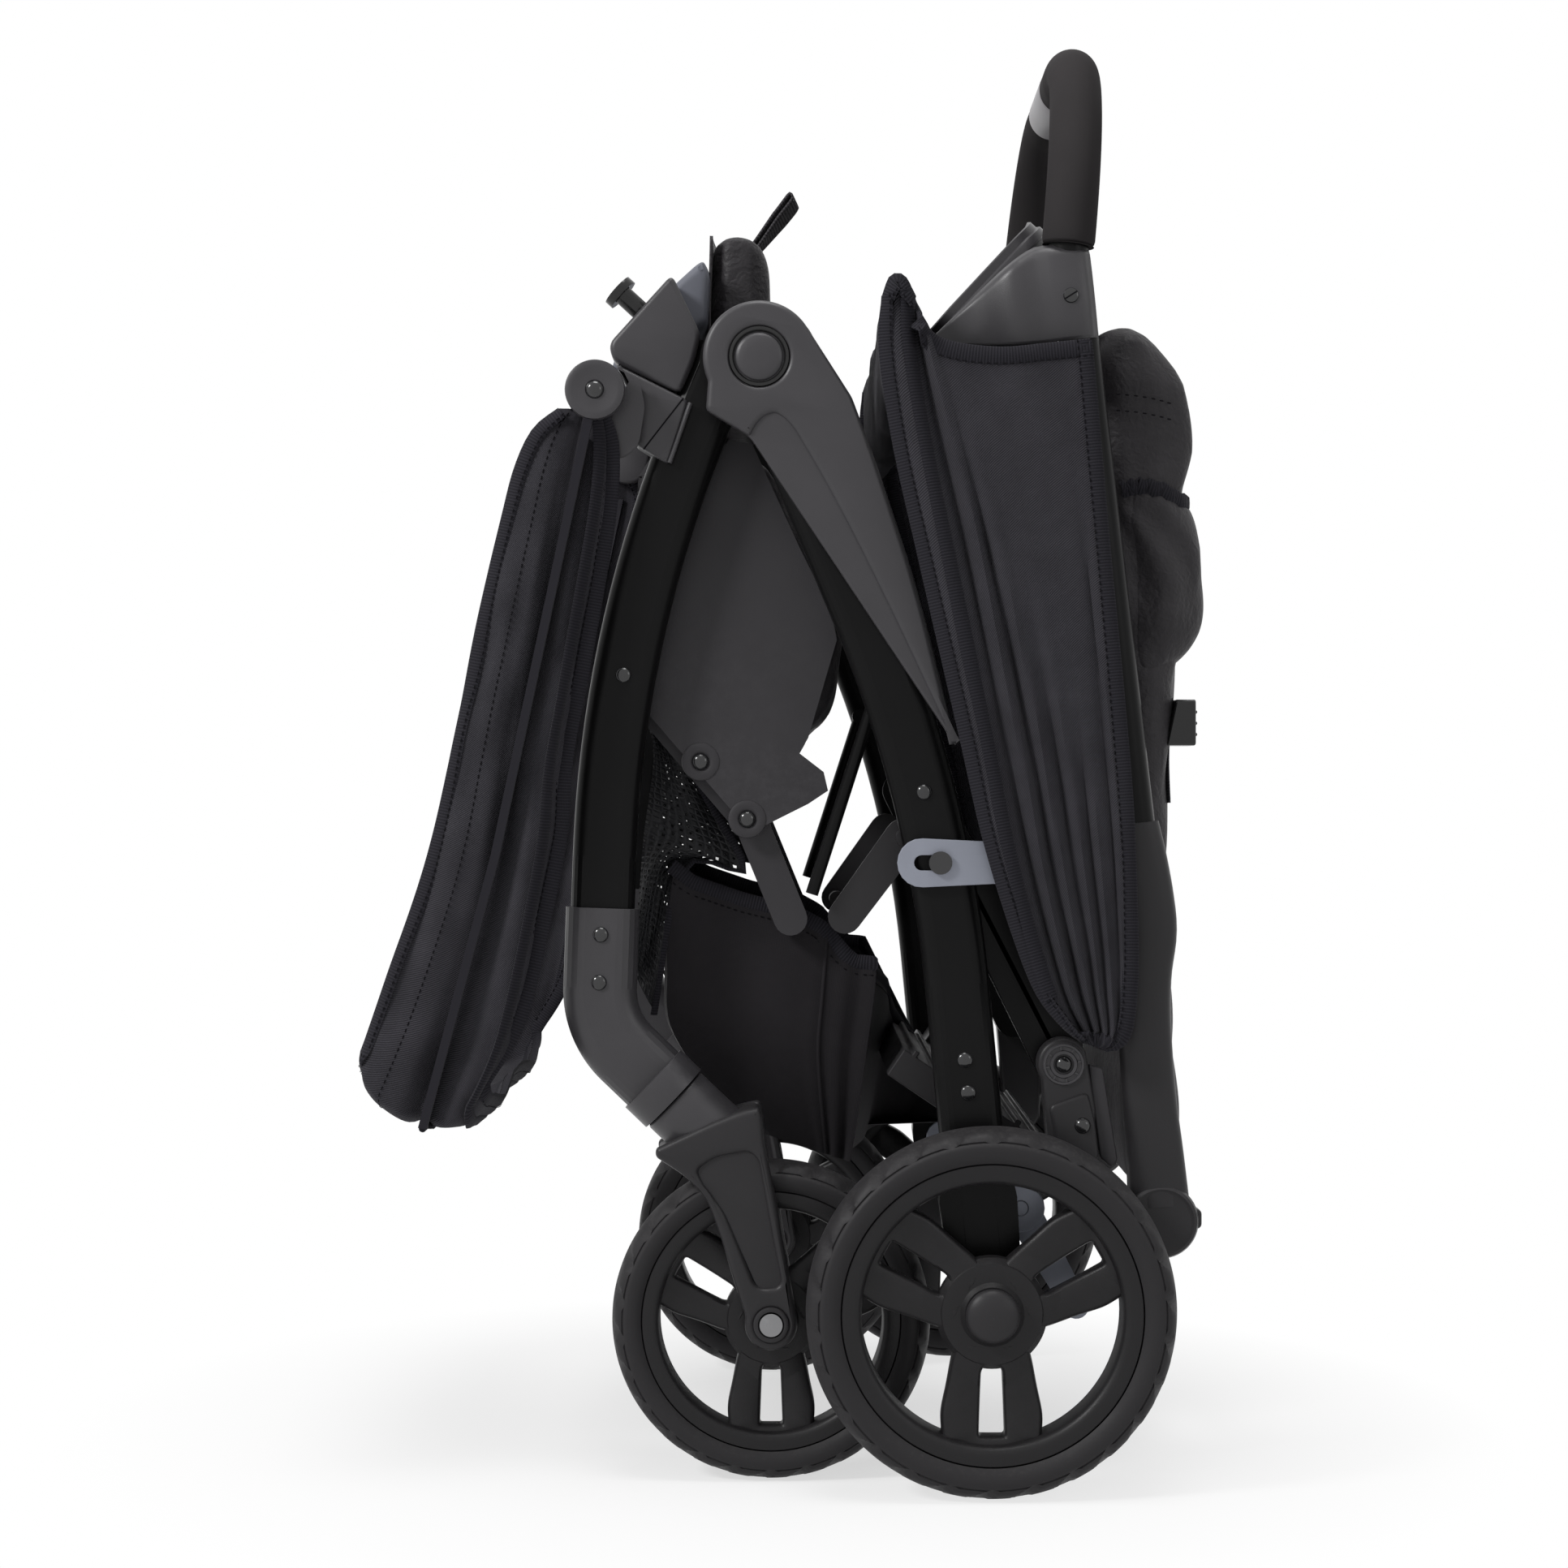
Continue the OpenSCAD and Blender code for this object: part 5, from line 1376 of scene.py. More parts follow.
class STROLLER_OT_front_hood(StrollerOperator):
    """Builds the folded front hood as one sheet that hangs from its hubs"""

    bl_idname = "stroller.front_hood"
    bl_label = "Front hood"

    def build(self):
        self.cloth()
        self.webs()
        face = reach_of("front_canopy_bow")
        for side, name in SIDES:
            hub = "front_hood_hub_" + name
            turned(hub, HOOD_DISH, face, CANOPY_HUB, side, 64, "grey moulding", "front_canopy_bow")

    def surface(self):
        """Points down one side, round its lower edge, across, and up the other side."""
        low, high = bound("front_canopy")
        side_y = float(high[1]) - 0.011
        left, right = (curve_through(scaled(line), HOOD_ROWS) for line in (HOOD_LEFT, HOOD_RIGHT))
        foot = curve_through(scaled(HOOD_FOOT), HOOD_COLS)
        columns = []
        for v, foot_at in zip(np.linspace(0.0, 1.0, HOOD_COLS), foot):
            edge = left * (1 - v) + right * v
            end = foot_at + np.array((0.0, 0.006 * bell(v, 0.54, 0.06)))
            bulge = float(np.interp(v, HOOD_ACROSS, HOOD_BULGE))
            line = []
            for t, place in zip(np.linspace(0.0, 1.0, HOOD_ROWS), edge):
                x, z = place + (end - edge[-1]) * t**3
                depth = bulge * min(1.0, 0.35 + 2.2 * t) + 0.5 * max(0.0, 0.35 - 1.6 * t)
                crease = 0.09 * math.sin(31.0 * t + 13.0 * v) * math.sin(6.0 * t + 2.0)
                crease += 0.07 * math.sin(17.0 * t - 25.0 * v + 1.0)
                line.append((x, -side_y - HOOD_RISE * clamp(depth + crease * min(1.0, 3 * t)), z))
            x, y, z = line[-1]
            for a in np.linspace(0.0, math.pi / 2, HOOD_TURN_ROWS + 1)[1:]:
                line.append((x, y + HOOD_BEND * (1 - math.cos(a)), z - 0.35 * HOOD_BEND * math.sin(a)))
            x, y, z = line[-1]
            for w in np.linspace(0.0, 1.0, HOOD_CROSS_ROWS)[1:]:
                sag = 0.005 * math.sin(w * math.pi * 1.5 + v * 4.0) - 0.004 * (1 - bulge)
                line.append((x + 0.002 * math.sin(w * 4.0), y * (1 - w), z + sag * min(1.0, 3 * w)))
            columns.append(line + [(x, -y, z) for x, y, z in reversed(line[:-1])])
        points = np.array(columns).transpose(1, 0, 2)
        points[:, :, 2] = np.maximum(points[:, :, 2], float(low[2]) - 0.004)
        return points

    def cloth(self):
        s = sizes()
        points = self.surface()
        hood = thicken(grid("front_hood", points), s.cloth)
        dress(hood, "hood twill", "weave", "front_canopy", ["front_canopy"], 60)
        where = ("weave", "front_canopy")
        extras = []
        for key, edge, inward in (("front", 0, 2), ("back", HOOD_COLS - 1, -2)):
            path = points[:, edge]
            toward = points[:, edge + inward] - path
            extras.append(taped("front_hood.tape_" + key, path, toward, *where))
            seam = "front_hood.stitch_" + key
            extras.append(stitched(seam, path, toward, s.tape * 0.78, s.tape_rise * 0.56, *where))
        inner, fold = (points[:, int(HOOD_COLS * share):] for share in (0.85, 0.28))
        extras.append(taped("front_hood.tape_inner", inner[:, 0], inner[:, 0] - inner[:, 1], *where))
        toward = fold[:, 1] - fold[:, 0]
        extras.append(stitched("front_hood.stitch_fold", fold[:, 0], toward, 0.0, s.cloth * 0.7, *where))
        area = sheet_area(hood)
        tall = line_length(points[:, HOOD_COLS // 2])
        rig.sheet(
            hood, flat=(area / tall * 1.25, tall), held="hung", rests_on=["canopy_mounts"], area=area,
            with_pieces=extras,
        )

    def webs(self):
        """Pleated cloth between the hood and its bow, which spreads as the bow opens."""
        leg = np.array(BOW)
        runs = [leg[0] * (1 - t) + leg[1] * t for t in np.linspace(0.1, 1, 16)]
        runs += [leg[1] * (1 - t) + leg[2] * t for t in np.linspace(0.1, 1, 10)]
        near, far = WEB_Y
        shares = np.linspace(0, 1, WEB_FOLDS)
        for side, name in SIDES:
            folds = [[(x, side * (near + (far - near) * k), z) for k in shares] for x, z in runs]
            self.web(name, folds, (0.0016, 0.0, 0.0), (0.0, side * near, 0.3), (0.0, side * far, 0.3))
        x, z = BOW[2]
        folds = [[(x + 0.006 - 0.009 * k, w * near, z) for k in shares] for w in np.linspace(-1, 1, 25)]
        self.web("top", folds, (0.0, 0.0, 0.0018), (x + 0.006, 0.0, z), (x - 0.003, 0.0, z))

    def web(self, name, folds, lean, start, end):
        """One web, whose folds lean one way and the other in turn."""
        middle = np.array(folds)
        middle[:, 0::2] -= lean
        middle[:, 1::2] += lean
        half = np.array(lean) / np.linalg.norm(lean) * WEB_HALF
        rows = np.concatenate([middle + half, (middle - half)[:, ::-1]], axis=1)
        made = dress(closed_form("front_hood.web_" + name, rows), "hood twill", "weave", None, (), 60)
        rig.blend(made, "front_canopy", "front_canopy_bow", start=start, end=end)


REAR_LEFT = (
    (0.0865, 1.05), (0.084, 1.005), (0.096, 0.922), (0.12, 0.815), (0.154, 0.667), (0.179, 0.56),
    (0.215, 0.453), (0.24, 0.415), (0.262, 0.398),
)
REAR_RIGHT = (
    (0.268, 1.012), (0.2715, 0.98), (0.286, 0.815), (0.304, 0.617), (0.309, 0.494), (0.308, 0.44),
    (0.304, 0.408), (0.296, 0.393), (0.283, 0.39),
)
REAR_TOP = (
    (0.0865, 1.05), (0.093, 1.066), (0.104, 1.067), (0.113, 1.053), (0.122, 1.028), (0.14, 1.011),
    (0.187, 1.004), (0.23, 1.008), (0.268, 1.012),
)
# Folds of the rear hood's side: where they begin and end across it, width, depth and start down it
REAR_FOLDS = (
    (0.24, 0.3, 0.035, 0.75, -0.2), (0.34, 0.47, 0.03, 0.6, 0.1), (0.52, 0.6, 0.03, 0.5, 0.32),
    (0.74, 0.7, 0.025, 0.45, 0.5), (0.9, 0.84, 0.02, 0.35, 0.2),
)
REAR_ROLL = (
    (0.0865, 1.05), (0.0845, 1.0), (0.09, 0.955), (0.104, 0.95), (0.117, 0.965), (0.119, 1.02),
    (0.112, 1.056), (0.1, 1.069), (0.091, 1.065),
)
REAR_ROWS, REAR_COLS, REAR_ROLL_COL = 72, 43, 8


class STROLLER_OT_rear_hood(StrollerOperator):
    """Builds the folded rear hood: cloth sides and the rolled crown between them"""

    bl_idname = "stroller.rear_hood"
    bl_label = "Rear hood"

    def build(self):
        reach = reach_of("rear_canopy")
        left, right = (curve_through(scaled(line), REAR_ROWS) for line in (REAR_LEFT, REAR_RIGHT))
        top = curve_through(scaled(REAR_TOP), REAR_COLS)

        def place(i, j, t, v):
            raised = top[j] - (left[0] * (1 - v) + right[0] * v)
            x, z = left[i] * (1 - v) + right[i] * v + raised * (1 - t) ** 9
            lift = 0.5 + 0.35 * math.sin(math.pi * v) * (1 - 0.4 * t) + 0.35 * bell(v, 0.1, 0.07)
            for begin, finish, width, deep, since in REAR_FOLDS:
                at = begin + (finish - begin) * t
                grow = clamp((t - since) / 0.2)
                lift -= deep * grow * math.exp(-abs(v - at) / width)
                lift += 0.5 * deep * grow * bell(v, at + 1.9 * width, width)
            lift += 0.06 * math.sin(27.0 * t + 9.0 * v) * t + 0.05 * math.sin(13.0 * t - 17.0 * v)
            return x, reach - 0.0105 + 0.013 * clamp(lift, 0.0, 1.1), z

        points = sheet_points(REAR_ROWS, REAR_COLS, place)
        for side, name in SIDES:
            self.panel(side, name, points * (1.0, side, 1.0))
        self.crown(reach)

    def panel(self, side, name, points):
        s = sizes()
        panel = thicken(grid("rear_hood_" + name, points), s.cloth)
        dress(panel, "hood twill", "weave", "handle", for_left(side, "rear_canopy"), 60)
        rim = np.vstack([points[:, 0], points[-1, 1:-1], points[::-1, -1]])
        inward = np.vstack([points[:, 2], points[-4, 1:-1], points[::-1, -3]]) - rim
        top, below = points[0], points[3] - points[0]
        roll = points[:-6, REAR_ROLL_COL]
        ahead = points[:-6, REAR_ROLL_COL - 1] - roll
        where = ("weave", "handle")
        lift = s.tape_rise * 0.56
        pieces = [
            taped("rear_hood.tape_" + name, rim, inward, *where),
            stitched("rear_hood.stitch_" + name, rim, inward, s.tape * 0.8, lift, *where),
            taped("rear_hood.hem_" + name, top, below, *where, -0.001, s.tape * 1.15),
            stitched("rear_hood.hem_stitch_" + name, top, below, s.tape * 0.95, lift, *where),
            taped("rear_hood.roll_tape_" + name, roll, ahead, *where),
        ]
        area = sheet_area(panel)
        tall = line_length(points[:, REAR_COLS // 2])
        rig.sheet(
            panel, flat=(area / tall * 1.3, tall), held="hung", rests_on=["handle_bracket_" + name],
            area=area, with_pieces=pieces,
        )

    def crown(self, reach):
        section = curve_through(scaled(REAR_ROLL), 40, True)
        centre = section.mean(axis=0)
        rows = []
        for w in np.linspace(-1.0, 1.0, 61):
            thin = tapering(w, 0.07, 0.02)[1]
            ring = []
            for q, a in zip(section, round_turns(len(section))):
                pleat = 1.0 + 0.05 * math.sin(3 * a + 9 * w) + 0.03 * math.sin(5 * a - 14 * w)
                x, z = centre + (q - centre) * thin * pleat * 0.94
                ring.append((x, w * (reach - 0.004), z - 0.004 * (1 - w * w)))
            rows.append(ring)
        roll = dress(closed_form("rear_hood_crown", rows), "hood twill", "weave", "handle", (), 60)
        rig.padded(roll, fill=0.2)
        edge = np.array(rows)[2:-2, 36]
        taped("rear_hood_crown.tape", edge, all_along(edge, DOWN), "weave", "handle", -0.001)


POUCH = (
    (0.2175, 0.806), (0.232, 0.8155), (0.2495, 0.817), (0.2585, 0.811), (0.272, 0.795), (0.2838, 0.776),
    (0.289, 0.752), (0.2875, 0.72), (0.283, 0.69), (0.284, 0.64), (0.2805, 0.59), (0.2765, 0.55),
    (0.2735, 0.5), (0.2725, 0.4), (0.2755, 0.3), (0.28, 0.235), (0.276, 0.205), (0.262, 0.194), (0.251, 0.2),
    (0.2485, 0.3), (0.2478, 0.4), (0.2395, 0.52), (0.227, 0.66), (0.218, 0.76),
)
POCKET = (
    (0.228, 0.699), (0.252, 0.7045), (0.272, 0.7025), (0.2865, 0.693), (0.293, 0.668), (0.2975, 0.634),
    (0.2955, 0.602), (0.285, 0.58), (0.268, 0.5675), (0.245, 0.565), (0.233, 0.585), (0.229, 0.64),
)
# Heights, and the line that the pouch thins towards at them
POUCH_SPINE = ((0.19, 0.5, 0.8), (0.264, 0.2545, 0.251))
POUCH_SEAM = ((0.2365, 0.7642), (0.25, 0.763), (0.264, 0.7605), (0.273, 0.7585))
# The pocket's mouth: its front and rear, its corner's radius, and its height at places from front to rear
MOUTH_FRONT, MOUTH_REAR, MOUTH_CORNER = 0.238, 0.287, 0.03
MOUTH_LINE = ((MOUTH_FRONT, 0.252, 0.272, MOUTH_REAR), (0.702, 0.7045, 0.7015, 0.6945))
RAY_START = 0.05
BUCKLE_TAIL = ((0.276, 0.55), (0.2745, 0.535), (0.2735, 0.505), (0.2745, 0.475))


def pouch_folds(x, z):
    """How deep the nylon is folded at a place on the pouch's end."""
    deep = 0.0016 * math.sin(88.0 * z + 30.0 * x + 2.2 * math.sin(31.0 * z))
    low = bell(z, 0.635, 0.05)
    over, up = x - 0.222, z - 0.7
    gathers = math.sin(13.0 * math.atan2(up, over) + 55.0 * math.hypot(over, up))
    return deep * (1 - 0.6 * low) + 0.003 * low * gathers


class STROLLER_OT_pouch(StrollerOperator):
    """Builds the padded seat back, its gathered pocket and the buckle behind the handle"""

    bl_idname = "stroller.pouch"
    bl_label = "Pouch"

    def build(self):
        reach = reach_of("rear_pouch")
        self.bag("rear_pouch_bag", POUCH, POUCH_SPINE, reach - 0.0012, 0.1, ["rear_pouch"], 0.35)
        self.bag("rear_pouch_pocket", POCKET, None, reach - 0.0002, 0.16, (), 0.2)
        self.seams(reach)
        self.elastic(reach)
        self.buckle()

    def bag(self, name, outline, spine_line, reach, round_share, stands_for, fill):
        section = curve_through(outline, 90, True)
        middle = section.mean(axis=0)
        rows = []
        for w in np.linspace(-1.0, 1.0, 61):
            end, thin = tapering(w, round_share, 0.12)
            ring = []
            for x, z in section:
                spine = float(np.interp(z, *spine_line)) if spine_line else middle[0]
                ring.append((spine + (x - spine) * thin, w * reach, z + (middle[1] - z) * 0.03 * end))
            rows.append(ring)
        soft = soften(name, closed_form(name + ".form", rows), sizes().puff_cap * 0.5)
        for vertex in soft.data.vertices:
            x, y, z = vertex.co
            cheek = clamp((abs(y) / reach - 0.8) / 0.15)
            if x > 0.255:
                vertex.co.x += math.sin(z * 95.0 + 6.0 * math.sin(y * 21.0)) * 0.0011
                vertex.co.x += math.sin(y * 60.0 + z * 17.0) * 0.0009
            sunk = max(0.0, 0.0026 + pouch_folds(x, z)) * cheek
            vertex.co.y = math.copysign(min(abs(y), reach) - sunk, y)
        dress(smoothed(soft), "pouch nylon", "nylon", "handle", stands_for, 180)
        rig.padded(soft, fill=fill)

    def seams(self, reach):
        for side, name in SIDES:
            for key, rise in (("upper", 0.0), ("lower", -0.0115)):
                path = []
                for x, z in curve_through([(x, z + rise) for x, z in POUCH_SEAM], 24):
                    drop = 0.0028 + 0.0035 * max(0.0, (x - 0.258) / 0.0145) ** 2
                    path.append((x, side * (reach - drop), z))
                seam = "pouch_%s_seam_%s" % (key, name)
                stitched(seam, path, all_along(path, UP), 0.0, 0.0006, "nylon", "handle")

    def elastic(self, reach):
        """Wraps the gathered elastic round the pocket's mouth, on whichever cloth lies outermost there."""
        trees = []
        for name in ("rear_pouch_bag", "rear_pouch_pocket"):
            data = bpy.data.objects[name].data
            faces = [f.vertices[:] for f in data.polygons]
            trees.append(BVHTree.FromPolygons([v.co[:] for v in data.vertices], faces))
        bend_x, bend_y = MOUTH_REAR - MOUTH_CORNER, MOUTH_CORNER - reach
        half = [(x, -reach, 0.0, -1.0) for x in np.linspace(MOUTH_FRONT, bend_x, 10)]
        for turn in np.linspace(-math.pi / 2, 0.0, 12)[1:]:
            nx, ny = math.cos(turn), math.sin(turn)
            half.append((bend_x + MOUTH_CORNER * nx, bend_y + MOUTH_CORNER * ny, nx, ny))
        half += [(MOUTH_REAR, y, 1.0, 0.0) for y in np.linspace(bend_y, 0.0, 60)[1:]]
        whole = np.array(half + [(x, -y, nx, -ny) for x, y, nx, ny in reversed(half[:-1])])
        heights = np.interp(whole[:, 0], *MOUTH_LINE)
        depths = []
        for (x, y, nx, ny), z in zip(whole, heights):
            start = Vector((x + nx * RAY_START, y + ny * RAY_START, z - sizes().tape / 2))
            hits = [tree.ray_cast(start, Vector((-nx, -ny, 0.0)), 2 * RAY_START)[3] for tree in trees]
            depths.append(min([h for h in hits if h is not None] or [RAY_START]))
        eased = np.convolve(np.pad(depths, 2, mode="edge"), np.ones(5) / 5, mode="valid")
        path = []
        for k, ((x, y, nx, ny), z) in enumerate(zip(whole, heights)):
            off = RAY_START - eased[k] + 0.0004 + 0.0005 * math.sin(k * 1.9)
            path.append((x + nx * off, y + ny * off, z + 0.0012 * math.sin(k * 2.1)))
        taped("pouch_elastic", path, all_along(path, DOWN), "nylon", "handle", -0.001)

    def buckle(self):
        edge_round(["pouch_buckle"], 0.0022, "gloss buckle", 3)
        low, high = (corner.tolist() for corner in bound("pouch_buckle"))
        face = high[0] - 0.0002
        for k in range(3):
            z = low[2] + 0.008 + 0.008 * k
            line = even([(face, low[1] + 0.004, z), (face, high[1] - 0.004, z)], 6)
            dress(rod("pouch_buckle_rib_%d" % k, line, 0.0014, 10), "gloss buckle", "moulding", "handle")
        middle = (low[1] + high[1]) / 2
        path = [(x + 0.0012, middle, z) for x, z in curve_through(BUCKLE_TAIL, 18)]
        taped("pouch_strap", path, all_along(path, ACROSS), "nylon", "handle", -0.0125, 0.025, 0.0022)


BASKET_FRONT = (
    (-0.03, 0.303), (-0.07, 0.345), (-0.104, 0.4), (-0.107, 0.45), (-0.106, 0.5), (-0.1, 0.552),
)
BASKET_REAR = (
    (0.061, 0.273), (0.068, 0.32), (0.079, 0.41), (0.083, 0.45), (0.0845, 0.48), (0.084, 0.498),
)
# Shares along the basket's rim, and how far the rim hangs at them
BASKET_DIP = ((0, 0.1, 0.35, 0.62, 0.75, 0.9, 1.0), (0, -0.012, -0.015, -0.012, -0.02, -0.05, -0.045))
BASKET_ROWS, BASKET_SIDE, BASKET_END = 30, 34, 22
MESH_UPPER = ((-0.1335, 0.692), (-0.12, 0.655), (-0.13, 0.57), (-0.136, 0.5), (-0.146, 0.462))
MESH_LOWER = ((-0.124, 0.696), (-0.075, 0.62), (-0.034, 0.543), (-0.09, 0.545), (-0.118, 0.41))
MESH_ROWS, MESH_COLS = 24, 14


class STROLLER_OT_basket(StrollerOperator):
    """Builds the sagging storage basket and the mesh gusset in front of it"""

    bl_idname = "stroller.basket"
    bl_label = "Basket"

    def build(self):
        s = sizes()
        walls = self.walls()
        middle = walls[0].mean(axis=0)
        floor = []
        for k in (0.08, 0.35, 0.65, 0.88):
            floor.append(middle + (walls[0] - middle) * k + np.array(DOWN) * 0.003 * (1 - k))
        bag = grid("basket_bag", np.concatenate([np.array(floor), walls]), close_cols=True)
        thicken(bag, s.cloth)
        dress(bag, "basket cloth", "basket_cloth", "rear_frame", ["basket"], 60)
        rim = np.vstack([walls[-1], walls[-1][:1]])
        inward = np.vstack([walls[-4], walls[-4][:1]]) - rim
        where = ("basket_cloth", "rear_frame")
        pieces = [
            taped("basket_rim", rim, inward, *where, -0.001, s.tape * 0.95, s.tape_rise * 1.15),
            stitched("basket_rim_stitch", rim, inward, s.tape * 1.15, s.cloth * 0.9, *where),
        ]
        near = int(BASKET_SIDE * 0.74)
        for key, col in (("near", near), ("far", 2 * BASKET_SIDE + BASKET_END - 2 - near)):
            line = walls[:, col]
            fell = strip("basket_seam_" + key, line, walls[:, col + 1] - line, 0.0045, 0.003, -0.002)
            dress(fell, "basket cloth", *where, (), 50)
        area = sheet_area(bag)
        girth = line_length(rim)
        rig.sheet(
            bag, flat=(area / girth * 1.2, girth), held="hung", rests_on=["basket_rods"], area=area,
            with_pieces=pieces,
        )
        self.gusset()

    def walls(self):
        """Rings of points from the floor up: the near side, the rear end, the far side and the front end."""
        reach = reach_of("basket")
        front, rear = (curve_through(scaled(line), BASKET_ROWS) for line in (BASKET_FRONT, BASKET_REAR))
        ends = [k / BASKET_END for k in range(1, BASKET_END)]

        def between(a, b, w, t, bow, ripple, waves, dip):
            curve = math.sin(math.pi * w)
            x = a[0] + bow * curve + ripple * math.sin(w * waves)
            return x, a[1] + (b[1] - a[1]) * w, a[2] - dip * curve * t

        rings = []
        for i in range(BASKET_ROWS):
            t = i / (BASKET_ROWS - 1)
            near = []
            for v in np.linspace(0.0, 1.0, BASKET_SIDE):
                x, z = front[i] * (1 - v) + rear[i] * v
                pleats = math.sin(v * 46.0) * max(0.0, (v - 0.62) / 0.38) * (0.35 + 0.65 * (1 - t))
                drag = math.sin((v * 2.2 - t * 1.4) * 3.0) * 0.6 * (1 - abs(2 * v - 0.8))
                belly = math.sin(math.pi * t) * math.sin(math.pi * v)
                y = reach - 0.006 + 0.003 * belly + 0.003 * pleats + 0.0018 * drag - 0.018 * (1 - t) ** 3
                near.append((x, -min(y, reach + 0.0035), z + float(np.interp(v, *BASKET_DIP)) * t**3 * 0.6))
            far = [(x, -y, z) for x, y, z in near]
            for w in ends:
                near.append(between(near[-1], far[-1], w, t, 0.006, -0.003, 25.0, 0.012))
            front_end = [between(far[0], near[0], w, t, -0.004, 0.002, 23.0, 0.01) for w in ends]
            rings.append(near + far[::-1] + front_end)
        return np.array(rings)

    def gusset(self):
        reach = reach_of("basket_mesh") - 0.002
        upper, lower = (curve_through(scaled(line), MESH_ROWS) for line in (MESH_UPPER, MESH_LOWER))

        def place(i, j, t, v):
            x, z = upper[i] * (1 - v) + lower[i] * v
            fold = 0.004 * math.sin(v * 9.0 + i * 0.35) + 0.003 * math.sin(i * 0.7)
            return x, -(reach - 0.006 + fold), z

        near = sheet_points(MESH_ROWS, MESH_COLS, place)
        far = near * (1.0, -1.0, 1.0)
        front = np.array([[(x, y - 2 * y * w, z) for w in np.linspace(0, 1, 24)] for x, y, z in near[:, 0]])
        where = ("mesh", "front_frame")
        panels = []
        for key, points, solids in (("near", near, ["basket_mesh"]), ("far", far, ()), ("front", front, ())):
            panels.append(dress(grid("basket_mesh_" + key, points), "mesh cloth", *where, solids, 60))
        bands = []
        for key, points in (("near", near), ("far", far)):
            edge = points[:, -1]
            inward = points[:, -3] - edge
            bands.append([taped("basket_mesh.tape_" + key, edge, inward, *where, -0.001, 0.006, 0.0026)])
        tall = line_length(near[:, 0])
        for made, grip, pieces in zip(panels, both("front_leg") + ["front_cross_tube"], bands + [[]]):
            area = sheet_area(made)
            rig.sheet(
                made, flat=(area / tall * 1.3, tall), held="hung", rests_on=[grip], area=area,
                with_pieces=pieces,
            )


PAD = (
    (-0.0645, 1.119), (-0.052, 1.131), (-0.033, 1.131), (-0.019, 1.122), (-0.0145, 1.105), (-0.017, 1.07),
    (-0.019, 1.04), (-0.026, 1.0), (-0.032, 0.969), (-0.059, 0.969), (-0.0655, 1.0), (-0.0675, 1.04),
)
FLAP = ((-0.0665, 1.133), (-0.067, 1.11), (-0.0685, 1.06), (-0.067, 1.01), (-0.061, 0.97))
STRAP = (
    (-0.039, 1.131), (-0.038, 1.14), (-0.024, 1.1575), (-0.004, 1.183), (0.0075, 1.198), (0.0102, 1.1965),
    (0.0095, 1.1915), (-0.006, 1.172), (-0.026, 1.147), (-0.0355, 1.1385), (-0.0365, 1.131),
)
# The strap's loop turns towards this direction by up to this angle
STRAP_FACE = (0.731, -0.682)
STRAP_TWIST = math.radians(13.0)


class STROLLER_OT_pad(StrollerOperator):
    """Builds the strap pad with its flap, and the webbing loop that folds the stroller"""

    bl_idname = "stroller.pad"
    bl_label = "Strap pad"

    def build(self):
        self.cushion()
        self.flap()
        self.strap()

    def cushion(self):
        low, high = bound("strap_pad")
        reach = float(high[1])
        section = curve_through(scaled(PAD), 44, True)
        centre = section.mean(axis=0)
        rows = []
        for w in np.linspace(-1.0, 1.0, 31):
            thin = tapering(w, 0.12, 0.25)[1]
            ring = centre + (section - centre) * (thin * 0.94, 0.985)
            rows.append([(x, w * (reach - 0.004), z) for x, z in ring])
        pad = soften("strap_pad_cushion", closed_form("pad_form", rows), sizes().puff_cap * 0.5)
        for vertex in pad.data.vertices:
            fold = math.sin((vertex.co.z - vertex.co.x) * 120.0) * 0.0008
            vertex.co.x = clamp(vertex.co.x + fold, float(low[0]) - 0.0065, float(high[0]))
            vertex.co.y = clamp(vertex.co.y, -reach, reach)
        dress(smoothed(pad), "pouch nylon", "nylon", "front_frame", ["strap_pad"], 180)
        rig.padded(pad, fill=0.5)

    def flap(self):
        reach = reach_of("strap_pad")
        rows = []
        wide, across = reach - 0.006, np.linspace(-1, 1, 33)
        for x, z in curve_through(scaled(FLAP), 26):
            rows.append([(x + 0.0006 * math.sin(9 * w), w * wide, z - 0.004 * w * w) for w in across])
        flap = thicken(grid("strap_pad_flap", rows), 0.0024)
        dress(flap, "pouch nylon", "nylon", "front_frame", (), 60)
        area = sheet_area(flap)
        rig.sheet(
            flap, flat=(2 * reach, area / (2 * reach) * 1.05), held="hung", rests_on=["strap_pad_cushion"],
            area=area,
        )

    def strap(self):
        half = reach_of("fold_strap")
        rows = []
        for x, z in curve_through(scaled(STRAP), 60):
            twist = STRAP_TWIST * clamp((z - 0.893) / 0.03)
            lean_x, lean_z = (way * math.sin(twist) for way in STRAP_FACE)
            across = np.linspace(-half, half, 7)
            rows.append([(x + lean_x * y, y * math.cos(twist), z + lean_z * y) for y in across])
        loop = thicken(grid("fold_strap_loop", rows), 0.0019)
        dress(loop, "webbing", "weave", "front_frame", ["fold_strap"], 60)
        area = sheet_area(loop)
        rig.sheet(loop, flat=(2 * half, area / (2 * half)), held="folded", rests_on=["strap_pad_cushion"])


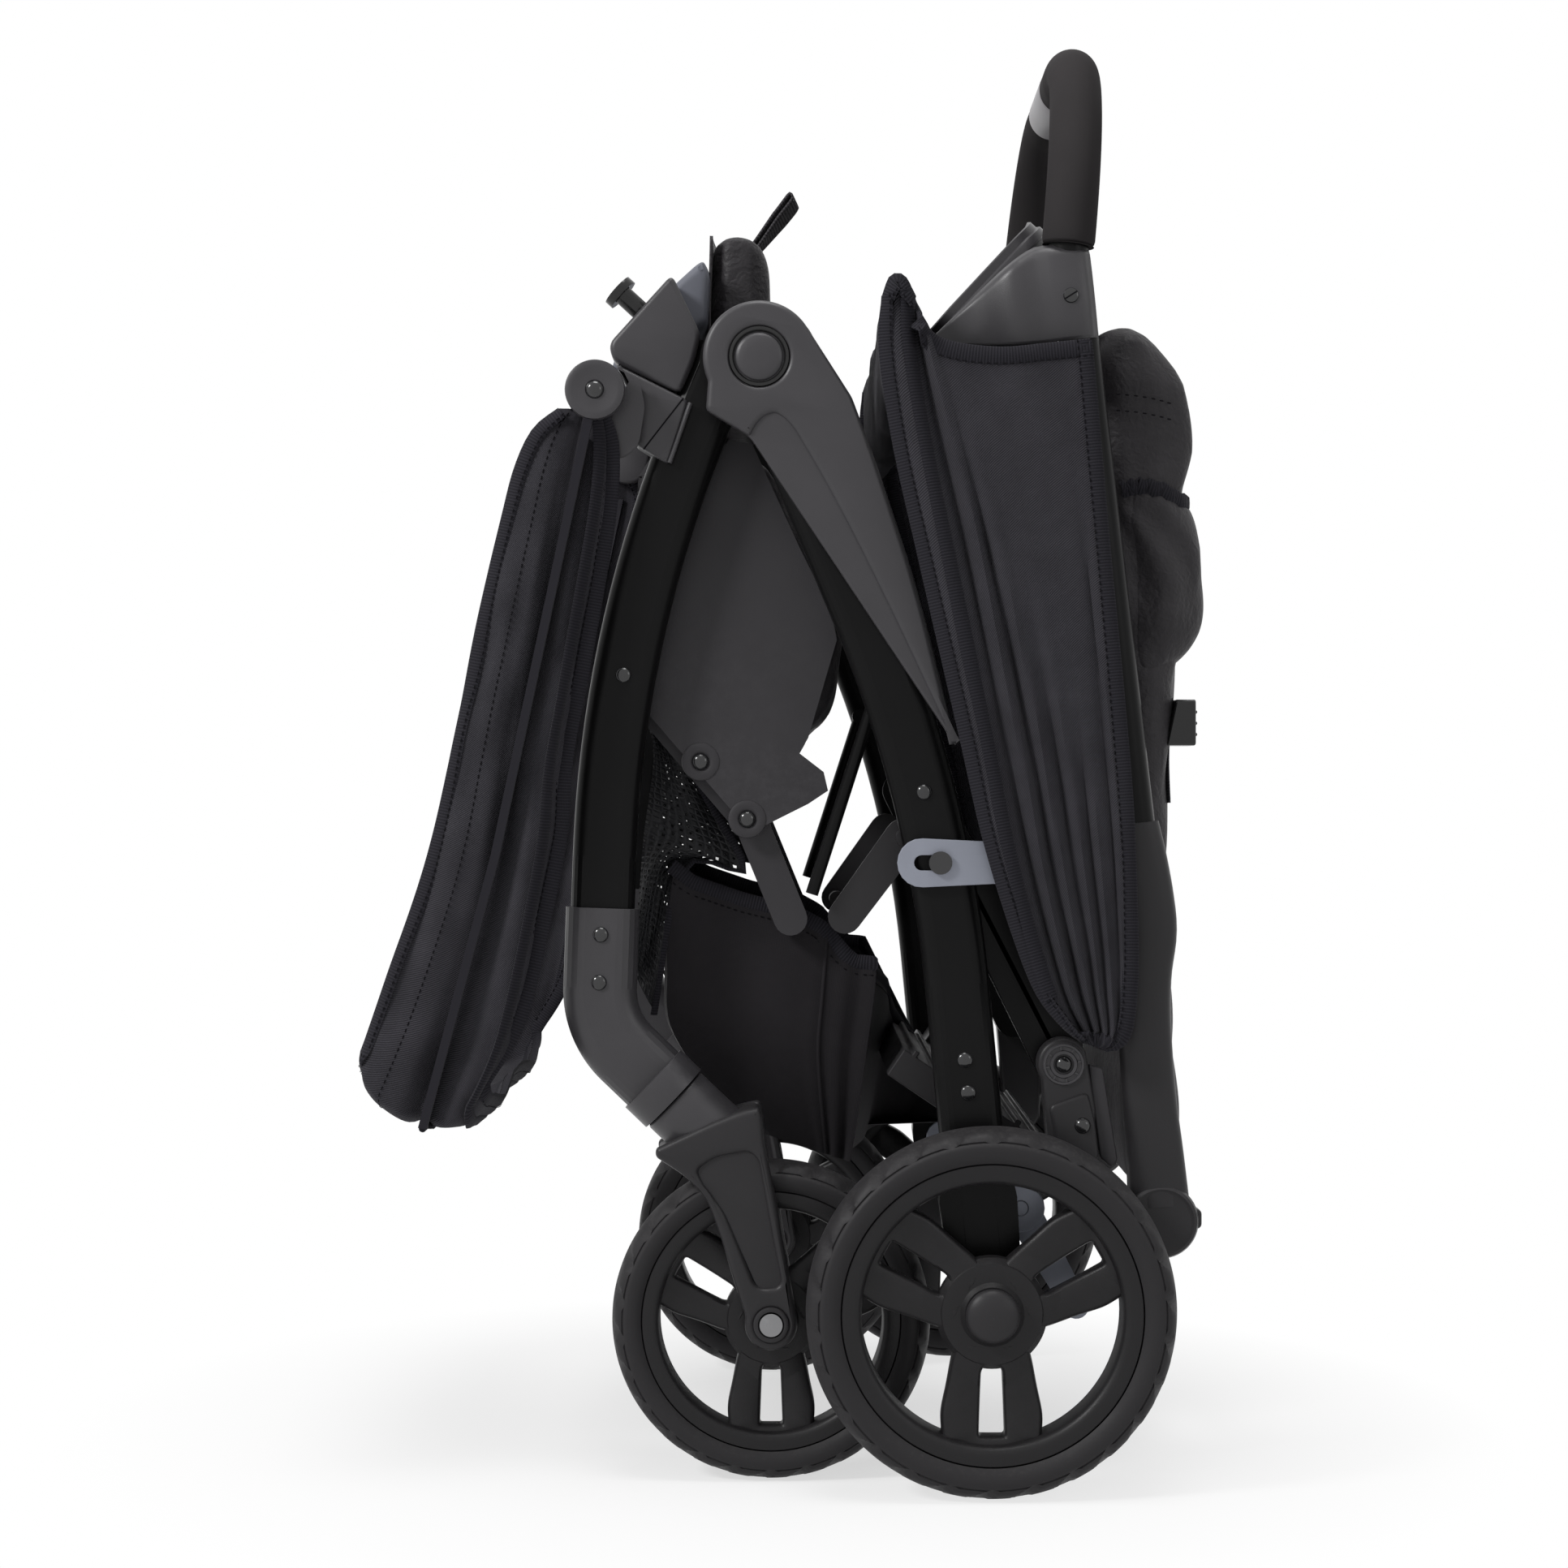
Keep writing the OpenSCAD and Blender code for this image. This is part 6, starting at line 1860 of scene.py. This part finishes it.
SLING = (
    (-0.043, 0.915), (-0.022, 0.925), (0.012, 0.862), (0.046, 0.805), (0.055, 0.745), (0.034, 0.67),
    (0.0, 0.648), (-0.046, 0.692), (-0.052, 0.78), (-0.05, 0.86),
)
SEAT_PIVOTS = ((-0.0594, 0.5044), (-0.0262, 0.4635))
SEAT_WASHER = ((0.0062, 0.0002), (0.0078, 0.0012), (0.0118, 0.0012), (0.0132, 0.0006), (0.0136, -0.001))
SEAT_RIVET = ((0.0, 0.0036), (0.0024, 0.0034), (0.0044, 0.0026), (0.0058, 0.0012), (0.0062, -0.0004))


class STROLLER_OT_seat(StrollerOperator):
    """Builds the folded seat cloth between the panels, and the panels' washers"""

    bl_idname = "stroller.seat"
    bl_label = "Seat"

    def build(self):
        reach = reach_of("seat_sling")
        section = curve_through(scaled(SLING), 60, True)
        centre = section.mean(axis=0)
        rows = []
        for w in np.linspace(-1.0, 1.0, 37):
            ring = []
            for q, a in zip(section, round_turns(len(section))):
                tuck = 1.0 - 0.05 * (1 + math.cos(8 * a)) * 0.5 - 0.03 * math.cos(w * 9.0) * math.sin(3 * a)
                x, z = centre + (q - centre) * (0.93, 0.96) * tuck
                ring.append((x, w * (reach - 0.003), z))
            rows.append(ring)
        sling = soften("seat_cloth", closed_form("sling_form", rows), sizes().puff_cap * 0.7)
        limit = reach - 0.0003
        for vertex in sling.data.vertices:
            vertex.co.y = clamp(vertex.co.y, -limit, limit)
        dress(smoothed(sling), "pouch nylon", "nylon", "seat", ["seat_sling"], 180)
        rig.padded(sling, fill=0.4)
        face = reach_of("seat_frame")
        for side, name in SIDES:
            for number, at in enumerate(SEAT_PIVOTS):
                key = "%s_%d" % (name, number)
                turned("seat_washer_" + key, SEAT_WASHER, face, at, side, 40, "panel moulding", "seat")
                rivet("seat_rivet_" + key, SEAT_RIVET, face, at, side, "seat")


TRAY_TILT = math.radians(47)
TRAY_CENTRE = np.array((0.1396, 0.0, 0.8452))
TRAY_ALONG = np.array((math.cos(TRAY_TILT), 0.0, math.sin(TRAY_TILT)))
TRAY_UP = np.array((-math.sin(TRAY_TILT), 0.0, math.cos(TRAY_TILT)))
TRAY_HALF, TRAY_REACH, TRAY_DEPTH = 0.059, 0.197, 0.062
CUP_R, CUP_DEPTH = 0.04, 0.048
CUP_Y = TRAY_REACH - CUP_R - 0.012
WELL_HALF = CUP_Y - CUP_R - 0.006
# Rings of the tray's outside from its rim down: shares of its half length and reach, and height
TRAY_LEVELS = (
    (0.91, 0.968, -0.001), (0.925, 0.975, 0.0068), (0.95, 0.983, 0.0078), (0.968, 0.989, 0.0068),
    (0.968, 0.989, 0.0015), (1.0, 0.998, 0.0), (1.0, 1.0, -0.002), (1.0, 1.0, -0.0055),
    (0.965, 0.99, -0.0068), (0.955, 0.985, -0.012), (0.97, 0.99, -0.0135), (0.97, 0.99, -0.0165),
    (0.945, 0.98, -0.018), (0.92, 0.97, -0.035), (0.86, 0.955, -0.052), (0.74, 0.93, -0.0605),
    (0.5, 0.88, -TRAY_DEPTH),
)
TRAY_BASE = ((0.5, 0.88, -TRAY_DEPTH), (0.25, 0.86, -TRAY_DEPTH), (0.02, 0.84, -TRAY_DEPTH))
CUP_WALL = (
    (CUP_R + 0.0015, 0.0), (CUP_R, -0.001), (CUP_R - 0.0006, -0.012), (CUP_R - 0.002, CUP_DEPTH * -0.8),
    (CUP_R - 0.007, -CUP_DEPTH), (0.0005, -CUP_DEPTH),
)
WELL_WALL = ((1.0, -0.003), (0.985, -0.012), (0.96, -0.021), (0.86, -0.024), (0.02, -0.024))
MOUNT_LOW = ((0.1035, 0.7985), (0.13, 0.796), (0.165, 0.794), (0.195, 0.796), (0.2175, 0.7985))
MOUNT_HIGH = ((0.1055, 0.8015), (0.136, 0.831), (0.1665, 0.8565), (0.181, 0.8615), (0.211, 0.8605))
MOUNT_ROWS, MOUNT_COLS = 26, 22
SCREW_AT, SCREW_Y = (0.1985, 0.8265), 0.2335
SCREW_HEAD = ((0.0, 0.0016), (0.003, 0.0015), (0.0048, 0.0008), (0.0054, -0.0004), (0.0056, -0.004))
SCREW_SLOT = ((-0.0045, -0.0022), (-0.0038, -0.003), (0.0045, 0.0022), (0.0038, 0.003))


class STROLLER_OT_parent_tray(StrollerOperator):
    """Builds the parent tray with its rim, cups and the bulged mounts on the handle"""

    bl_idname = "stroller.parent_tray"
    bl_label = "Parent tray"

    def build(self):
        look = ("grey moulding", "moulding", "handle")
        shell = grid("parent_tray_shell", [self.ring(*level) for level in TRAY_LEVELS], close_cols=True)
        thicken(tidy_normals(shell), 0.0014, -1.0)
        dress(shell, *look, ["parent_tray"], 32)
        base = grid("parent_tray_base", [self.ring(*level) for level in TRAY_BASE], close_cols=True)
        dress(base, *look, (), 32)
        well = filleted(oblong(CUP_R, WELL_HALF), 0.012, 6)
        self.deck(well)
        for side, name in SIDES:
            rows = []
            for a in round_turns(64):
                x, y = math.cos(a), math.sin(a)
                rows.append([self.place(r * x, side * CUP_Y + r * y, h - 0.003) for r, h in CUP_WALL])
            dress(grid("parent_tray_cup_" + name, rows, close_rows=True), *look, (), 40)
        rows = []
        for k, h in WELL_WALL:
            narrow = 1 - (1 - k) * CUP_R / WELL_HALF
            rows.append([self.place(x * k, y * narrow, h) for x, y in well])
        dress(grid("parent_tray_pocket", rows, close_cols=True), *look, (), 40)
        self.mounts()

    def dip(self, y):
        """How far the tray stands up in the middle and hangs at its ends."""
        t = clamp((abs(y) - 0.1) / 0.09)
        return 0.008 - 0.013 * t * t * (3 - 2 * t)

    def place(self, a, y, h):
        return tuple(TRAY_CENTRE + TRAY_ALONG * a + np.array(ACROSS) * y + TRAY_UP * (h + self.dip(y)))

    def ring(self, share_l, share_y, h):
        half, wide = TRAY_HALF * share_l, TRAY_REACH * share_y
        r = min(0.03, half * 0.95)
        points = []
        for sx, sy, first in ((1, 1, 0), (-1, 1, 90), (-1, -1, 180), (1, -1, 270)):
            points += arc((sx * (half - r), sy * (wide - r)), r, first, first + 90, 24)
        return [self.place(x, y, h) for x, y in points]

    def deck(self, well):
        outline = filleted(oblong(TRAY_HALF * 0.92, TRAY_REACH * 0.97), 0.026, 8)
        cups = [circle((0.0, y), CUP_R, 64) for y in (-CUP_Y, CUP_Y)]
        made = plate("parent_tray_deck", outline, 0.0015, 0.0045, 1.0, 0.0012, cups + [well])
        basis = Matrix((TRAY_ALONG, -TRAY_UP, ACROSS)).transposed().to_4x4()
        made.data.transform(Matrix.Translation(TRAY_CENTRE) @ basis)
        for vertex in made.data.vertices:
            vertex.co += Vector(TRAY_UP * self.dip(vertex.co.y))
        dress(tidy_normals(made), "grey moulding", "moulding", "handle")

    def mounts(self):
        low, high = (curve_through(line, MOUNT_COLS) for line in (MOUNT_LOW, MOUNT_HIGH))

        def place(i, j, t, v):
            x, z = low[j] * (1 - t) + high[j] * t
            rise = 1 / (1 + math.exp(-(v - 0.42) * 11))
            y = 0.2045 + 0.0275 * rise * (0.62 + 0.38 * math.sin(math.pi * (0.25 + 0.5 * t)))
            y -= 0.004 * bell(v, 0.68, 0.09) + 0.006 * max(0.0, (v - 0.93) / 0.07) ** 2
            return x, y - 0.005 * max(0.0, (t - 0.9) / 0.1) ** 2, z

        points = sheet_points(MOUNT_ROWS, MOUNT_COLS, place)
        slot = filleted([(SCREW_AT[0] + x, SCREW_AT[1] + z) for x, z in SCREW_SLOT], 0.0003, 2)
        for side, name in SIDES:
            bulge = thicken(grid("parent_tray_mount_" + name, points * (1.0, side, 1.0)), 0.003)
            dress(bulge, "grey moulding", "moulding", "handle", (), 50)
            rivet("tray_screw_" + name, SCREW_HEAD, SCREW_Y, SCREW_AT, side, "handle")
            groove = plate("tray_screw_slot_" + name, slot, SCREW_Y + 0.0004, SCREW_Y + 0.0019, side, 0.0001)
            dress(groove, "thread", "steel", "handle")


FLOOR_RINGS = (0.0001, 0.5, 1.0, 2.0, 4.0, 9.0)
FLOOR_Z = -0.0002
# Lamps: name, place, size and power
LAMPS = (
    ("key", (-2.3, -1.7, 2.3), 0.8, 70.0), ("fill", (2.3, -1.9, 1.4), 1.2, 6.0),
    ("top", (0.1, -0.6, 3.2), 1.4, 36.0),
)
LAMP_AIM = Vector((0.0, 0.0, 0.5))
CAMERA_AT = (0.0, -2.272, 0.4885)
CAMERA_LENS = 67.7


class STROLLER_OT_stage(StrollerOperator):
    """Makes the floor, the soft studio light and the camera"""

    bl_idname = "stroller.stage"
    bl_label = "Studio"

    def build(self):
        self.floor()
        self.light()
        self.camera()
        bpy.context.scene.view_settings.view_transform = "Standard"

    def seen(self, tree):
        """One for rays that show a surface, and none for rays that only light it."""
        path = node(tree, "ShaderNodeLightPath").outputs
        shown = calc(tree, "MAXIMUM", path["Is Camera Ray"], path["Is Glossy Ray"])
        return calc(tree, "MAXIMUM", shown, path["Is Transmission Ray"])

    def floor(self):
        rings = [[(r * math.cos(a), r * math.sin(a), FLOOR_Z) for a in round_turns(64)] for r in FLOOR_RINGS]
        made = tidy_normals(grid("studio_floor", rings, close_cols=True))
        tree, surface = shader("studio floor")
        pale = colours().floor
        base = blend_colour(tree, object_noise(tree, 3.0), rgba(pale, 0.99), rgba(pale, 1.01))
        cover(tree, surface, Base_Color=base, Roughness=0.9, Specular_IOR_Level=0.1)
        where = node(tree, "ShaderNodeTexCoord").outputs["Object"]
        away = node(tree, "ShaderNodeVectorMath", {0: where}, operation="LENGTH").outputs["Value"]
        bright = calc(tree, "MULTIPLY", self.seen(tree), span(tree, away, 0.15, 0.55, 0.6, 1.0))
        white = node(tree, "ShaderNodeEmission", {"Color": WHITE, "Strength": 1.0}).outputs[0]
        mix = node(tree, "ShaderNodeMixShader", {0: bright, 1: surface.outputs[0], 2: white})
        tree.links.new(mix.outputs[0], tree.nodes["Material Output"].inputs["Surface"])
        made.data.materials.append(bpy.data.materials["studio floor"])
        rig.stage(made)

    def light(self):
        world = bpy.data.worlds.new("studio")
        bpy.context.scene.world = world
        world.use_nodes = True
        tree = world.node_tree
        strength = span(tree, self.seen(tree), 0.0, 1.0, 0.2, 1.0)
        cover(tree, tree.nodes["Background"], Strength=strength, Color=WHITE)
        for name, place, size, power in LAMPS:
            lamp = bpy.data.lights.new("studio " + name, "AREA")
            lamp.shape = "DISK"
            lamp.size = size
            lamp.energy = power
            holder = link_up("studio " + name, lamp)
            holder.location = place
            holder.rotation_euler = (LAMP_AIM - Vector(place)).to_track_quat("-Z", "Y").to_euler()

    def camera(self):
        lens = bpy.data.cameras.new("photo view")
        lens.lens = CAMERA_LENS
        lens.sensor_width = 36.0
        holder = link_up("photo view", lens)
        holder.location = CAMERA_AT
        holder.rotation_euler = (math.pi / 2, 0.0, 0.0)
        bpy.context.scene.camera = holder


class STROLLER_PT_panel(bpy.types.Panel):
    """Lists the stroller's pieces and their settings"""

    bl_idname = "STROLLER_PT_panel"
    bl_label = "Folded stroller"
    bl_space_type = "VIEW_3D"
    bl_region_type = "UI"
    bl_category = "Stroller"

    def draw(self, context):
        for kind in OPERATORS:
            self.layout.operator(kind.bl_idname)
        for holder in (context.scene.stroller_sizes, context.scene.stroller_colours):
            for key in holder.__annotations__:
                self.layout.prop(holder, key)


OPERATORS = (
    STROLLER_OT_stage, STROLLER_OT_finishes, STROLLER_OT_tubes, STROLLER_OT_mouldings,
    STROLLER_OT_hinge_covers, STROLLER_OT_tray_brackets, STROLLER_OT_handle_feet, STROLLER_OT_wheels,
    STROLLER_OT_forks,
    STROLLER_OT_front_hood, STROLLER_OT_rear_hood, STROLLER_OT_pouch, STROLLER_OT_basket, STROLLER_OT_pad,
    STROLLER_OT_seat, STROLLER_OT_parent_tray,
)
CLASSES = (StrollerSizes, StrollerColours, *OPERATORS, STROLLER_PT_panel)


def register():
    for kind in CLASSES:
        bpy.utils.register_class(kind)
    bpy.types.Scene.stroller_sizes = bpy.props.PointerProperty(type=StrollerSizes)
    bpy.types.Scene.stroller_colours = bpy.props.PointerProperty(type=StrollerColours)


def unregister():
    del bpy.types.Scene.stroller_sizes
    del bpy.types.Scene.stroller_colours
    for kind in reversed(CLASSES):
        bpy.utils.unregister_class(kind)


def main():
    register()
    for kind in OPERATORS:
        group, name = kind.bl_idname.split(".")
        getattr(getattr(bpy.ops, group), name)()
    box = {"cad": [list(p) for p in CAD_BOX], "visual": [list(p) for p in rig.bounds()]}
    with open("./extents.json", "w") as out:
        json.dump(box, out)


if __name__ == "__main__":
    main()
